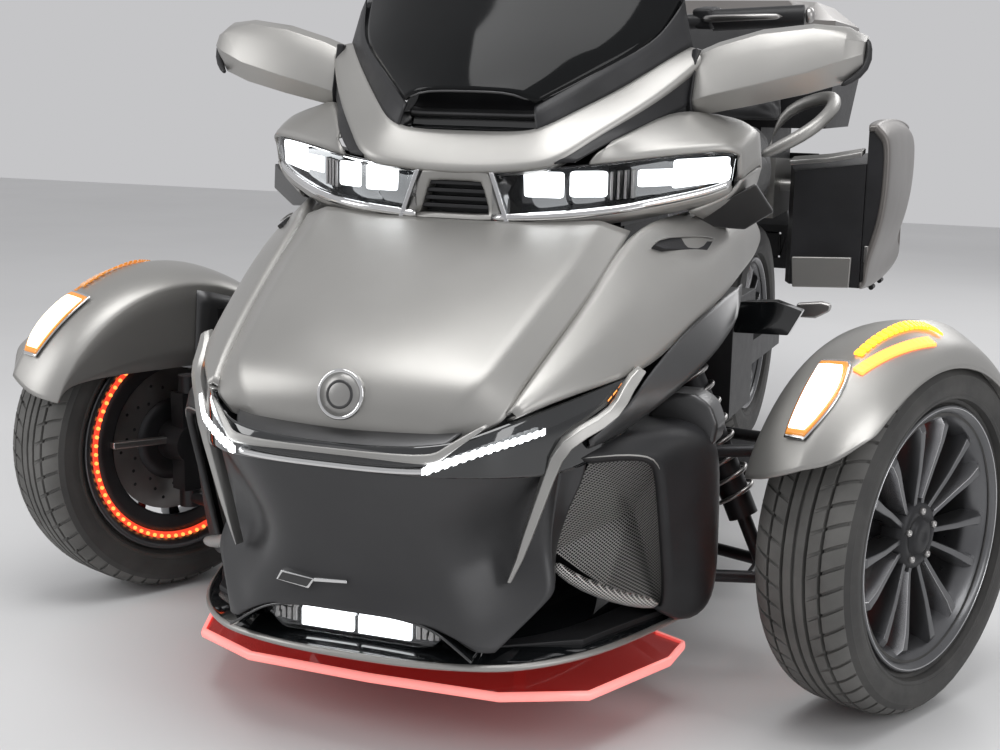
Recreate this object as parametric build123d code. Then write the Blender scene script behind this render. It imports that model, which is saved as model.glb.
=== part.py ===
from build123d import *
import math
import os

# Three-wheeled touring motorcycle. Row frame in mm: +Z up, the front faces -Y, +X is the
# rider's left, and the origin is on the ground under the middle of the overall length.

# Driving dimensions
overall_length = 2833.0
overall_height = 1464.0
wheelbase = 1714.0
front_overhang = 615.0
track = 1384.0
front_tyre_r = 281.0
front_tyre_w = 165.0
rear_tyre_r = 303.0
rear_tyre_w = 225.0
rim_r = 190.0
rim_flange_r = 207.5
kingpin_inset = 90.0
steer_rest_deg = -23.0
spoke_pairs = 7
disc_r = 135.0
panel_t = 10.0
case_wall = 8.0
fit_gap = 0.3

front_axle_y = -overall_length / 2 + front_overhang
tail = overall_length - front_overhang
wheel_x = track / 2
kingpin_x = wheel_x - kingpin_inset
axle_z = front_tyre_r
rear_axle_z = rear_tyre_r


# Small helpers. Points are (x, y, z), with y measured back from the front axle.
def at(x, y, z):
    return Vector(x, front_axle_y + y, z)


def solids_of(shape):
    if isinstance(shape, (list, tuple)):
        found = []
        for item in shape:
            found += solids_of(item)
        return found
    return list(shape.solids())


def face(points):
    return Face(Wire.make_polygon([at(*p) for p in points], close=True))


def prism(points, along):
    return Solid.extrude(face(points), Vector(*along))


def box(x0, x1, y0, y1, z0, z1):
    return prism([(x0, y0, z0), (x1, y0, z0), (x1, y1, z0), (x0, y1, z0)], (0, 0, z1 - z0))


def side_prism(yz, x0, x1):
    return prism([(x0, y, z) for y, z in yz], (x1 - x0, 0, 0))


def plan_prism(xy, z0, z1):
    return prism([(x, y, z0) for x, y in xy], (0, 0, z1 - z0))


def front_prism(xz, y0, y1):
    return prism([(x, y0, z) for x, z in xz], (0, y1 - y0, 0))


def loft(rings):
    wires = [Wire.make_polygon([at(*p) for p in ring], close=True) for ring in rings]
    return Solid.make_loft(wires, ruled=True)


def cut(shape, *tools):
    left = solids_of(shape)
    for tool in solids_of(list(tools)):
        left = [s for piece in left for s in solids_of(piece - tool)]
    return left


def fuse(*shapes):
    parts = solids_of(list(shapes))
    return solids_of(parts[0].fuse(*parts[1:]))


def mirrored(shape):
    return [s.mirror(Plane.YZ) for s in solids_of(shape)]


def both(shape):
    return solids_of(shape) + mirrored(shape)


def rod(p, q, r):
    a, b = at(*p), at(*q)
    axis = b - a
    return Solid.make_cylinder(r, axis.length, Plane(origin=a, z_dir=axis.normalized()))


def ball(p, r):
    return Solid.make_sphere(r, Plane(origin=at(*p)))


def pipe(points, r):
    pieces = [rod(p, q, r) for p, q in zip(points, points[1:])]
    pieces += [ball(p, r) for p in points[1:-1]]
    return fuse(*pieces)


def turned(profile, y, z, arc=360.0, start=0.0):
    """A ring about the X axis through (y, z), from a profile of (x, radius) points."""
    flat = Face(Wire.make_polygon([Vector(x, 0, r) for x, r in profile], close=True))
    ring = Solid.revolve(flat, arc, Axis((0, 0, 0), (1, 0, 0)))
    return ring.rotate(Axis.X, start).moved(Location(at(0, y, z)))


def shifted(shape, x):
    return [s.moved(Location((x, 0, 0))) for s in solids_of(shape)]


def steered(shape, side):
    """Turns a front corner's straight-ahead solids about its kingpin to the parked angle."""
    kingpin = Axis((side * kingpin_x, front_axle_y, 0), (0, 0, 1))
    return [s.rotate(kingpin, steer_rest_deg) for s in solids_of(shape)]


# Wheels
def tyre(r, w, y, z):
    half, bead = w / 2, w / 2 - 20
    out = [(bead, rim_r), (bead, rim_flange_r + 1), (half - 4, rim_flange_r + 9), (half, rim_flange_r + 30),
           (half - 4, r - 28),
           (half - 13, r - 12), (half - 32, r - 2), (half - 50, r)]
    return turned(out + [(-x, q) for x, q in reversed(out)], y, z)


def spoke(angle, hub_r, tip_r, face_x, dish):
    """One tapered spoke, as (tangential half width, x front, x back) at hub and tip."""
    rings = []
    for q, half, x_front, x_back in ((hub_r, 13, face_x - dish, face_x - dish - 26),
                                     (tip_r, 7, face_x, face_x - 24)):
        rings.append([(x_front, -half, q), (x_front, half, q), (x_back, half, q), (x_back, -half, q)])
    wires = [Wire.make_polygon([Vector(*p) for p in ring], close=True) for ring in rings]
    return Solid.make_loft(wires, ruled=True).rotate(Axis.X, angle)


def hub_nose(w):
    return w / 2 - 36


def rim(w, y, z, disc_x, bore):
    """Barrel with flanges, twin spokes, bored hub and brake disc. The outer side faces +X."""
    bead = w / 2 - 20
    lip, well = 8.0, 16.0
    barrel = [(bead + fit_gap, rim_flange_r),
              (bead + lip, rim_flange_r), (bead + lip, rim_r - 14), (bead - 22, rim_r - well),
              (-bead + 22, rim_r - well), (-bead - lip, rim_r - 14), (-bead - lip, rim_flange_r),
              (-bead - fit_gap, rim_flange_r), (-bead - fit_gap, rim_r - fit_gap),
              (bead + fit_gap, rim_r - fit_gap)]
    zero = -front_axle_y
    ring = turned(barrel, zero, 0)
    face_x = bead - 4
    pieces = [ring]
    for pair in range(spoke_pairs):
        for lean in (-10.5, 10.5):
            pieces.append(spoke(pair * 360 / spoke_pairs + lean, 38, rim_r - well + 1, face_x, 22))
    hub_back = min(disc_x, -disc_x) - 4
    hub_front = hub_nose(w)
    pieces.append(turned([(hub_back, bore), (hub_back, 52), (hub_front - 20, 58),
                          (hub_front, 44), (hub_front, bore)], zero, 0))
    pieces.append(turned([(disc_x - 3, 50), (disc_x - 3, disc_r), (disc_x + 3, disc_r), (disc_x + 3, 50)],
                         zero, 0))
    whole = fuse(*pieces)
    return [s.moved(Location(at(0, y, z))) for s in whole]


front_disc_x = -34.0
rear_disc_x = 70.0
axle_r = 11.0
hub_bore = axle_r + fit_gap
tyre_front = tyre(front_tyre_r, front_tyre_w, 0, axle_z)
rim_front = rim(front_tyre_w, 0, axle_z, front_disc_x, hub_bore)
tyre_rear = tyre(rear_tyre_r, rear_tyre_w, wheelbase, rear_axle_z)
rim_rear = rim(rear_tyre_w, wheelbase, rear_axle_z, rear_disc_x, hub_bore)

# Front corner: knuckle, calliper and mudguard, straight ahead on the +X side
fender_r = front_tyre_r + 27
fender_crown = 27.0
fender_half = front_tyre_w / 2 + 14
fender_t = 5.0
fender_front_deg, fender_back_deg = 66.0, 70.0
stay_x = -fender_half - 8


# The front edge leans back towards the outer side, where the lip rises as well: (y, z) of the lip's cut
beak_deg = (66.5, 53.0)
lip_cut = side_prism([(-129, 529), (-209, 489), (-262, 468), (-400, 420), (-400, 300), (-129, 300)],
                     30, fender_half + 10)


def beak_cut():
    """What lies ahead of the slanting front edge."""
    rings = []
    for x, deg in zip((-fender_half - 10, fender_half + 10), beak_deg):
        tip_y, tip_z = -500 * math.sin(math.radians(deg)), 500 * math.cos(math.radians(deg))
        rings.append([(x, 0, axle_z), (x, tip_y, axle_z + tip_z), (x, -500, axle_z)])
    return loft(rings)


def fender():
    """Mudguard arch with a crowned top, an outer lip and a deeper inner skirt."""
    r, half, t = fender_r, fender_half, fender_t
    top = [(-half, r - 34), (-half, r - 2), (-half + 26, r + fender_crown), (half - 40, r + fender_crown),
           (half - 6, r + 4), (half, r - 24)]
    under = [(x * (half - t) / half, q - t if 0 < i < 5 else q) for i, (x, q) in enumerate(top)]
    arc = fender_front_deg + fender_back_deg
    arch = turned(top + under[::-1], 0, axle_z, arc, -fender_back_deg)
    skirt_low = axle_z + 128
    plate = turned([(-half, 150), (-half, r - 34), (-half + t, r - 34), (-half + t, 150)],
                   0, axle_z, arc, -fender_back_deg)
    keep = side_prism([(-r, skirt_low - 6), (r, skirt_low + 14), (r, skirt_low + 260), (-r, skirt_low + 260)],
                      -half - 1, half + 1)
    skirt = [s & keep for s in solids_of(plate)]
    whole = fuse(arch, *skirt)
    return cut(whole, beak_cut(), lip_cut)


upper_ball_z, lower_ball_z = axle_z + 112, axle_z - 104
hub_side = front_disc_x - 10
knuckle_axle = turned([(-kingpin_inset - 14, 0), (-kingpin_inset - 14, 36),
                       (hub_side, 40), (hub_side, axle_r),
                       (hub_nose(front_tyre_w), axle_r), (hub_nose(front_tyre_w), 0)], 0, axle_z)
ball_half = 16.0
upright_low, upright_top = lower_ball_z + ball_half + fit_gap, upper_ball_z - ball_half - fit_gap
upright = front_prism([(-kingpin_inset - 16, upright_low), (-kingpin_inset + 22, upright_low),
                       (-kingpin_inset + 26, upright_top), (-kingpin_inset - 12, upright_top)], -22, 22)
calliper_from, calliper_arc = -112.0, 46.0
calliper = cut(turned([(front_disc_x - 16, 92), (front_disc_x - 16, disc_r + 16),
                       (front_disc_x + 16, disc_r + 16),
                       (front_disc_x + 16, 92)], 0, axle_z, calliper_arc, calliper_from),
               turned([(front_disc_x - 6, 80), (front_disc_x - 6, disc_r + 4), (front_disc_x + 6, disc_r + 4),
                       (front_disc_x + 6, 80)], 0, axle_z))
calliper_arm = box(-kingpin_inset - 10, front_disc_x - 12, 18, 112, axle_z - 18, axle_z + 18)
stay_foot = axle_z + 50
fender_stay = fuse(box(stay_x, -fender_half - fit_gap, 60, 92, stay_foot, axle_z + fender_r - 60),
                   box(stay_x, -kingpin_inset, 15, 92, stay_foot, stay_foot + 24))
knuckle = fuse(knuckle_axle, upright, calliper, calliper_arm, fender_stay)
fender_solid = fender()

# Suspension, frame and engine
arm_r = 10.0
arm_root_x = 252.0
arm_spread = 130.0


def a_arm(ball_z, root_z):
    tip = (kingpin_x + 2, 0, ball_z)
    legs = [pipe([(arm_root_x - 8, y, root_z), tip], arm_r) for y in (-arm_spread, arm_spread)]
    return fuse(*legs, rod((kingpin_x, 0, ball_z - ball_half), (kingpin_x, 0, ball_z + ball_half), 19))


tower_front, tower_depth = 68.0, 40.0
tower_half, tower_low, tower_top = 322.0, 430.0, 600.0
shock_y, shock_r = 36.0, 25.0
shock_x_low, shock_x_top, shock_z_top = 470.0, 300.0, 560.0
spine_half = 62.0
bulkhead = box(-arm_root_x + 2, arm_root_x - 2, -165, 165, 140, tower_low)
spine_back = 1330.0
spine = box(-spine_half, spine_half, 150, spine_back, 130, 190)
rear_post = side_prism([(1120, 180), (spine_back, 180), (spine_back, 330), (1240, 640), (1120, 640)],
                       -spine_half, spine_half)
tower = fuse(box(-tower_half, tower_half, tower_front, tower_front + tower_depth, tower_low, tower_top),
             box(-spine_half, spine_half, 60, 120, tower_low, 720))
upper_arms = both(cut(a_arm(upper_ball_z, upper_ball_z - 14), bulkhead))
shock_bar = rod((shock_x_low, -50, lower_ball_z + 3), (shock_x_low, 50, lower_ball_z + 3), 10)
lower_arm = fuse(*cut(a_arm(lower_ball_z, lower_ball_z + 6), bulkhead), shock_bar)
lower_arms = both(lower_arm)
shock_low = (shock_x_low, shock_y, lower_ball_z + 3)
shock_top = (shock_x_top, shock_y, shock_z_top)


def along(p, q, share):
    return tuple(a + (b - a) * share for a, b in zip(p, q))


shocks = both(cut(fuse(rod(shock_low, shock_top, 12),
                       rod(along(shock_low, shock_top, 0.2), along(shock_low, shock_top, 0.88), shock_r),
                       rod(shock_top, (shock_x_top, tower_front, shock_z_top), 11)), *lower_arm))
engine_half, engine_top = 215.0, 560.0
engine = box(-engine_half, engine_half, 190, 700, 200, engine_top)
side_ducts = both(box(255, 388, tower_front + tower_depth, 285, 400, 604))

# Hood: shell sections from the nose back, (y, z centre, x crease, z crease, x gap, z gap)
hood_sections = [
    (-604, 470, 70, 468, 96, 466),
    (-598, 515, 130, 508, 158, 490),
    (-540, 572, 186, 558, 221, 518),
    (-400, 652, 208, 640, 247, 596),
    (-280, 708, 224, 700, 268, 660),
    (-190, 737, 234, 733, 284, 716),
]
hood_t = 14.0


def hood_ring(y, zc, xc, zk, xg, zg):
    top = [(-xg, zg), (-xc, zk), (0, zc), (xc, zk), (xg, zg)]
    under = [(x * 0.96, z - hood_t) for x, z in reversed(top)]
    return [(x, y, z) for x, z in top + under]


hood_lid = loft([hood_ring(*s) for s in hood_sections])

# Side panels: (y, x top, z top, x shoulder, z shoulder, x low, z low)
side_sections = [
    (-538, 226, 517, 231, 510, 238, 500),
    (-400, 252, 594, 290, 572, 320, 536),
    (-280, 273, 658, 330, 622, 362, 548),
    (-176, 291, 726, 365, 668, 384, 562),
    (0, 352, 748, 394, 690, 404, 586),
    (150, 372, 760, 402, 700, 404, 618),
    (270, 350, 765, 388, 708, 390, 664),
]


def side_ring(y, xt, zt, xs, zs, xl, zl):
    t = panel_t
    return [(xt, y, zt), (xs, y, zs), (xl, y, zl),
            (xl - t, y, zl), (xs - t, y, zs - t * 0.6), (xt, y, zt - t)]


side_panels = both(loft([side_ring(*s) for s in side_sections]))

# Storage tub under the hood
tub_half, tub_floor = 160.0, 330.0
tub_yz = [(-496, 520), (-476, tub_floor), (-200, tub_floor), (-200, 690)]


def inset(yz, d):
    cy = sum(p[0] for p in yz) / len(yz)
    return [(y + (d if y < cy else -d), z + (d if z < tub_floor + 1 else 40)) for y, z in yz]


tub_outer = side_prism(tub_yz, -tub_half, tub_half)
tub_inner = side_prism(inset(tub_yz, case_wall), -tub_half + case_wall, tub_half - case_wall)
tub = cut(tub_outer, tub_inner)

# Gloss band that wraps the nose: (x, y, z low, z top), outer face
mask_stations = [
    (0, -612, 434, 451.6),
    (137, -606, 438, 451.6),
    (218, -552, 436, 486),
    (262, -488, 424, 496),
    (290, -440, 424, 506),
]
mask_t = 22.0


def band(stations, t):
    rings = []
    for x, y, z0, z1 in stations:
        inner = (x * 0.93, y + t)
        rings.append([(x, y, z0), (x, y, z1), (inner[0], inner[1], z1), (inner[0], inner[1], z0)])
    return loft(rings)


mask_half = band(mask_stations, mask_t)
mask = fuse(mask_half, *mirrored(mask_half))

# Lower nose: (z, centre y, x front, y front, x corner, y corner, x end, y end)
nose_sections = [
    (434, -611, 120, -606, 205, -550, 240, -495),
    (380, -586, 112, -582, 180, -528, 226, -462),
    (300, -556, 108, -553, 160, -516, 238, -430),
    (230, -544, 130, -543, 180, -514, 268, -410),
    (172, -556, 165, -550, 195, -532, 300, -400),
]
nose_t = 16.0


def nose_ring(z, yc, xf, yf, xk, yk, xe, ye):
    outer = [(-xe, ye), (-xk, yk), (-xf, yf), (0, yc), (xf, yf), (xk, yk), (xe, ye)]
    inner = [(x * 0.92, y + nose_t) for x, y in reversed(outer)]
    return [(x, y, z) for x, y in outer + inner]


fog_half, fog_top = 138.0, 206.0
fog_recess = front_prism([(-fog_half - 26, 160), (fog_half + 26, 160), (fog_half + 8, fog_top),
                          (90, fog_top + 18), (-90, fog_top + 18), (-fog_half - 8, fog_top)], -640, -480)
lower_nose = cut(loft([nose_ring(*s) for s in nose_sections]), fog_recess, *mask)

# Silver blades each side: (x, y, z, half width)
fang_stations = [
    (352, -348, 545, 16),
    (334, -400, 530, 19),
    (300, -488, 470, 17),
    (284, -514, 440, 16),
    (214, -494, 266, 5),
]


def blade():
    rings = []
    for x, y, z, half in fang_stations:
        rings.append([(x - half, y - 10, z), (x + half, y - 4, z + 4),
                      (x + half, y + 16, z + 4), (x - half, y + 10, z)])
    return loft(rings)


# Air intake pods. Each ring lies on a slanting plane:
# (y at the outer top, x in at the top, x in below, z in below, x out, z low, z top, chamfer,
# and how far y changes per mm of x and of z)
pod_sections = [
    (-343, 296, 254, 275, 390, 190, 440, 20, 0.867, -0.361),
    (-290, 286, 250, 235, 424, 180, 492, 34, 0.80, -0.25),
    (-215, 280, 262, 206, 446, 182, 510, 44, 0.50, -0.10),
    (-172, 276, 270, 206, 428, 200, 498, 40, 0.20, 0.0),
]
pod_wall = 9.0
mesh_back, mesh_t = 15.0, 4.0


def pod_ring(section, inset=0.0, back=0.0):
    y, x_in, x_low, z_in, x_out, z_low, z_top, c, per_x, per_z = section
    d = inset
    points = [(x_low + d, z_in + d), (x_out - c, z_low + d), (x_out - d, z_low + c), (x_out - d, z_top - c),
              (x_out - c, z_top - d), (x_in + d, z_top - d)]
    return [(x, y + back + per_x * (x - x_out) + per_z * (z - z_top), z) for x, z in points]


def largest(pieces):
    return max(pieces, key=lambda piece: piece.volume)


mouth, throat = pod_sections[:2]
pod_outer = loft([pod_ring(s) for s in pod_sections])
pod_hollow = loft([pod_ring(mouth, pod_wall, -2), pod_ring(mouth, pod_wall), pod_ring(throat, pod_wall)])
mesh_space = loft([pod_ring(mouth, pod_wall + fit_gap), pod_ring(throat, pod_wall + fit_gap)])
mesh_slab = loft([pod_ring(mouth, -60, mesh_back), pod_ring(mouth, -60, mesh_back + mesh_t)])
blades = both(largest(cut(blade(), *mask, *side_panels)))
pods = both(largest(cut(pod_outer, pod_hollow, *mask, *blades, *lower_nose)))
mesh = both([mesh_slab & mesh_space])

# Chin tray and the clear splitter below it
chin_plan = [(0, -556), (100, -553), (190, -530), (236, -506), (295, -445), (346, -352), (403, -163),
             (394, -135), (250, -170), (0, -170)]
chin_z, chin_t = 142.0, 26.0


def whole_plan(half):
    return half + [(-x, y) for x, y in reversed(half) if x > 0]


chin = plan_prism(whole_plan(chin_plan), chin_z, chin_z + chin_t)
splitter_plan = [(0, -486), (202, -478), (318, -420), (390, -240), (392, -160), (336, -130), (250, -200),
                 (0, -230)]
splitter_z, splitter_t = 85.0, 10.0
splitter = fuse(plan_prism(whole_plan(splitter_plan), splitter_z, splitter_z + splitter_t),
                *[rod((x, -330, splitter_z + 4), (x, -330, chin_z), 9) for x in (-180, 180)])

# Fog lamp bar in the chin
fog_plan = [(0, -540), (104, -536), (fog_half, -518), (104, -484), (0, -484)]
fog = plan_prism(whole_plan(fog_plan), chin_z + chin_t, fog_top)

# Headlamps: (x, y, z low, z top)
lamp_stations = [
    (64, -182, 748, 812),
    (210, -166, 756, 832),
    (300, -112, 770, 846),
    (394, -30, 792, 856),
]
lamp_depth = 60.0


def lamp_loft(front, back, drop=0.0):
    """Between two depths behind the lens line, with the low edge dropped."""
    return loft([[(x, y + front, z0 - drop), (x, y + front, z1), (x, y + back, z1), (x, y + back, z0 - drop)]
                 for x, y, z0, z1 in lamp_stations])


headlamps = both(lamp_loft(0, lamp_depth))
lamp_back_t, lamp_back_drop = 30.0, 12.0
lamp_back_half = lamp_loft(lamp_depth, lamp_depth + lamp_back_t, lamp_back_drop)
lamp_backs = fuse(box(-64, 64, -182 + lamp_depth, -92, 736, 812), lamp_back_half, *mirrored(lamp_back_half))

# Grille between the lamps
grille_half = 60.0
grille_box = box(-grille_half, grille_half, -180, -182 + lamp_depth, 748, 812)
grille_hole = box(-grille_half + 8, grille_half - 8, -181, -140, 756, 804)
slats = [box(-grille_half + 7, grille_half - 7, -172, -150, z, z + 4) for z in (766, 779, 792)]
centre_grille = fuse(*cut(grille_box, grille_hole), *slats)

# Cowl over the lamps and its arms beside the screen: (x, y front low, z front low, y top, z top, depth)
cowl_half = [
    (0, -186, 816, -118, 886, 50),
    (118, -182, 826, -126, 892, 48),
    (172, -172, 830, -74, 950, 40),
    (228, -130, 860, -18, 992, 36),
    (292, -4, 909, 40, 1030, 34),
    (332, 40, 934, 72, 1020, 30),
]
cowl_stations = [(-row[0],) + row[1:] for row in reversed(cowl_half[1:])] + cowl_half
screen_base = box(-96, 96, -121, -84, 860, 934)
cowl_rings = [[(x, yf, zf), (x, yt, zt), (x, yt + d, zt), (x, yf + d, zf)]
              for x, yf, zf, yt, zt, d in cowl_stations]
cowl = fuse(loft(cowl_rings), screen_base)

# Brow above each lamp: (x, y front, z low, y top, z top, y back)
brow_stations = [
    (206, -150, 833, -138, 852, 20),
    (262, -112, 841, -70, 884, 60),
    (306, -88, 848, 14, 912, 90),
    (366, -54, 856, 56, 902, 120),
    (404, -30, 858, 76, 897, 150),
    (434, 60, 846, 86, 886, 180),
]
brow_raw = loft([[(x, yf, z0), (x, yt, z1), (x, yb, z1), (x, yb, z0)]
                 for x, yf, z0, yt, z1, yb in brow_stations])
brows = both(largest(cut(brow_raw, *cowl, *headlamps, *lamp_backs)))

# Screen: (z, half width, y centre, y edge)
screen_stations = [
    (916, 92, -129, -121),
    (1010, 248, -66, 8),
    (1180, 292, 60, 156),
    (1340, 266, 166, 232),
    (overall_height, 176, 234, 264),
]
screen_t = 5.0


def screen_ring(z, half, yc, ye):
    share = [-1, -0.6, 0, 0.6, 1]
    bow = [ye, yc + (ye - yc) * 0.3, yc, yc + (ye - yc) * 0.3, ye]
    outer = [(half * s, y, z) for s, y in zip(share, bow)]
    return outer + [(x, y + screen_t, z) for x, y, z in reversed(outer)]


screen = largest(cut(loft([screen_ring(*s) for s in screen_stations]), *cowl))

# Mirrors: (x, y front, y back, z low, z top)
mirror_stations = [
    (322, 24, 64, 930, 990),
    (345, 36, 100, 908, 1010),
    (420, 14, 120, 918, 1058),
    (520, 30, 126, 934, 1062),
    (574, 70, 124, 956, 1040),
]
mirror_rings = [[(x, y0, z0 + 14), (x, y0, z1 - 30), (x, y0 + 24, z1), (x, y1, z1), (x, y1, z0),
                 (x, y0 + 16, z0)] for x, y0, y1, z0, z1 in mirror_stations]
mirrors = both(cut(loft(mirror_rings), *cowl))

# Dash, console and inner cockpit
fairing_top, dash_half, dash_front = 845.0, 205.0, 60.0
dash = side_prism([(dash_front, 900), (150, 960), (230, 1010), (250, 990), (250, fairing_top),
                   (dash_front, fairing_top)], -dash_half, dash_half)

# Console stations are (y, half width, z top)
console_stations = [(255, 150, 860), (420, 168, 850), (560, 150, 780), (640, 130, 720)]
console_front = console_stations[0][0]
console = loft([[(-w, y, engine_top), (-w, y, z - 40), (-w * 0.6, y, z), (w * 0.6, y, z), (w, y, z - 40),
                 (w, y, engine_top)] for y, w, z in console_stations])
inner_fairing = cut(fuse(box(-52, 52, -92, console_front, 745, fairing_top),
                         box(-200, 200, dash_front, console_front, 720, fairing_top)), *cowl, *lamp_backs)

# Handlebar on its sloping column
column_low, column_top = (0, 300, 880), (0, 352, 1000)
column_r = 20.0
grip_in, grip_out = (250, 470, 1030), (395, 540, 1015)
bar_half = pipe([(60, 350, 1000), (170, 400, 1035), grip_in], 13)
grip = rod(grip_in, grip_out, 19)
bars_straight = fuse(box(-70, 70, 320, 376, 982, 1018), rod(column_low, column_top, column_r),
                     bar_half, grip, *mirrored(bar_half), *mirrored(grip))
column_axis = Axis(at(*column_low), at(*column_top) - at(*column_low))
handlebar = [s.rotate(column_axis, steer_rest_deg) for s in bars_straight]
column_foot = along(column_low, column_top, -fit_gap / 130)
column_boss = cut(rod(along(column_low, column_top, -0.7), column_foot, column_r + 8), dash, *inner_fairing)
console = fuse(console, *column_boss)

# Seats and backrest
seat_base, pillion_base = 656.0, 696.0

def cushion(stations, base, crown_share):
    """Crowned pad with level underside, through (y, half width, z top)."""
    return loft([[(-w, y, base), (-w, y, z - 30), (-w * crown_share, y, z), (w * crown_share, y, z),
                  (w, y, z - 30), (w, y, base)] for y, w, z in stations])


rider_seat = cushion([(648, 110, 735), (760, 165, 752), (960, 205, 762), (1040, 205, 800)], seat_base, 0.8)
pillion_seat = cushion([(1040.5, 200, 840), (1200, 190, 862), (1420, 185, 868)], pillion_base, 0.85)
top_front = 1548.0
backrest = fuse(side_prism([(1436, 880), (1506, 880), (1540, 1150), (1480, 1150)], -190, 190),
                box(-80, 80, 1490, top_front, 900, 940))

# Tail shell between the cases
tail_half = 196.0
rear_face = 2084.0
tail_shell = cut(fuse(side_prism([(700, engine_top), (1120, 600), (1430, 640), (1430, pillion_base),
                                  (1040, pillion_base), (1040, seat_base), (700, seat_base)], -150, 150),
                      side_prism([(1425, 640), (rear_face, 660), (rear_face, 760), (1425, 790)],
                                 -tail_half, tail_half)), rear_post)

# Side cases on the +X side. The lid stands higher than the tub:
# (y, x in, x out, z low, z tub top, z lid top)
case_sections = [
    (1250, 276, 496, 500, 790, 880),
    (1420, 236, 522, 486, 800, 902),
    (1700, 226, 524, 484, 806, 904),
    (1960, 240, 490, 520, 800, 880),
]
case_chamfer, case_shoulder, tub_fall = 46.0, 34.0, 24.0
split_x = 440.0
lid_gap = 0.5


def case_ring(y, x0, x1, z0, z_tub, z_lid, d=0.0):
    c, q, step = case_chamfer, case_shoulder, split_x + lid_gap
    points = [(x0 + d, z0 + d), (x1 - c, z0 + d), (x1 - d, z0 + c), (x1 - d, z_lid - q), (x1 - q, z_lid - d),
              (step + d, z_lid - d), (step + d, z_tub - d), (x0 + d, z_tub - tub_fall - d)]
    return [(x, y, z) for x, z in points]


first, *middle, last = case_sections
case_whole = loft([case_ring(*s) for s in case_sections])
case_hollow = loft([case_ring(first[0] + case_wall, *first[1:], d=case_wall),
                    *[case_ring(*s, d=case_wall) for s in middle],
                    case_ring(last[0] - case_wall, *last[1:], d=case_wall)])
case_shell = cut(case_whole, case_hollow)
inner_side = box(0, split_x, 1200, 2000, 400, 900)
outer_side = box(split_x + lid_gap, 600, 1200, 2000, 400, 960)
case_hinge_x, case_hinge_z, barrel_r, barrel_l = split_x + lid_gap / 2, 476.0, 6.0, 40.0


def case_hinge(y, x0, x1):
    """Barrel on the lid's axis, with the block that joins it to the wall above."""
    return fuse(rod((case_hinge_x, y, case_hinge_z), (case_hinge_x, y + barrel_l, case_hinge_z), barrel_r),
                box(x0, x1, y, y + barrel_l, case_hinge_z, 494))


hinge_places = (1480, 1640)
case_tub = fuse(*[s & inner_side for s in case_shell],
                *[case_hinge(y, split_x - 16, split_x - 0.1) for y in hinge_places])
case_lid = fuse(*[s & outer_side for s in case_shell],
                *[case_hinge(y + barrel_l + 1, split_x + lid_gap + 0.1, split_x + 16) for y in hinge_places])

# Top case, split into tub and lid
top_back, top_half = 2110.0, 300.0
top_low, top_split, top_high = 860.0, 1000.0, 1180.0


def top_ring(z, inset_y, half, c=60.0, d=0.0):
    y0, y1 = top_front + inset_y + d, top_back - inset_y - d
    w = half - d
    return [(-w + c, y0, z), (w - c, y0, z), (w, y0 + c, z), (w, y1 - c, z), (w - c, y1, z), (-w + c, y1, z),
            (-w, y1 - c, z), (-w, y0 + c, z)]


top_tub = cut(loft([top_ring(top_low, 20, top_half - 20), top_ring(top_split, 0, top_half)]),
              loft([top_ring(top_low + case_wall, 20, top_half - 20, d=case_wall),
                    top_ring(top_split + 1, 0, top_half, d=case_wall)]))
top_lid = cut(loft([top_ring(top_split + lid_gap, 0, top_half),
                    top_ring(top_high - 50, 8, top_half - 8),
                    top_ring(top_high, 70, top_half - 70)]),
              loft([top_ring(top_split, 0, top_half, d=case_wall),
                    top_ring(top_high - 50, 8, top_half - 8, d=case_wall),
                    top_ring(top_high - case_wall, 70, top_half - 70, d=case_wall)]))
top_hinge_x, top_hinge_z = -top_half - barrel_r - 1, top_split + lid_gap / 2


def top_hinge(y, z0, z1):
    return fuse(rod((top_hinge_x, y, top_hinge_z), (top_hinge_x, y + barrel_l, top_hinge_z), barrel_r),
                box(top_hinge_x, -top_half + 2, y, y + barrel_l, z0, z1))


top_hinge_places = (1700, 1880)
top_tub = fuse(*top_tub, *[top_hinge(y, top_split - 12, top_split) for y in top_hinge_places])
top_lid = fuse(*top_lid, *[top_hinge(y + barrel_l + 1, top_split + lid_gap, top_split + 12)
                           for y in top_hinge_places])
top_rack = cut(box(-120, 120, 1600, 2040, 740, top_low), *tail_shell)

# Grab rails, number plate carrier, lamps, swingarm
grab = cut(pipe([(180, 1180, 780), (290, 1200, 900), (300, 1330, 944), (190, 1440, 900), (170, 1440, 760)],
                14),
           pillion_seat, *tail_shell, *backrest)
bumper_back = 2150.0
plate_t, plate_z, plate_hole_r = 8.0, 500.0, 3.2
plate_pitch_x, plate_pitch_z = 146.0, 70.0
plate_arm = side_prism([(2110, 700), (2110, 650), (tail - plate_t, 560), (tail - plate_t, 430), (tail, 430),
                        (tail, 572), (bumper_back, 680), (bumper_back, 700)], -100, 100)
plate_holes = [rod((x * plate_pitch_x / 2, tail - 40, plate_z + z * plate_pitch_z / 2),
                   (x * plate_pitch_x / 2, tail + 10, plate_z + z * plate_pitch_z / 2), plate_hole_r)
               for x in (-1, 1) for z in (-1, 1)]
plate_holder = cut(plate_arm, *plate_holes)
rear_guard = fuse(side_prism([(rear_face, 640), (bumper_back, 650), (bumper_back, 760), (rear_face, 780)],
                             -tail_half, tail_half), *plate_holder)
tail_lamps = both(box(60, 180, bumper_back, bumper_back + 18, 690, 745))
swingarm = fuse(*[fuse(box(x - 18, x + 18, 1330, wheelbase + 50, rear_axle_z - 30, rear_axle_z + 30))
                  for x in (-150, 150)],
                box(-168, 168, 1330, 1372, rear_axle_z - 30, rear_axle_z + 30),
                rod((-160, wheelbase, rear_axle_z), (160, wheelbase, rear_axle_z), axle_r))
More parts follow.
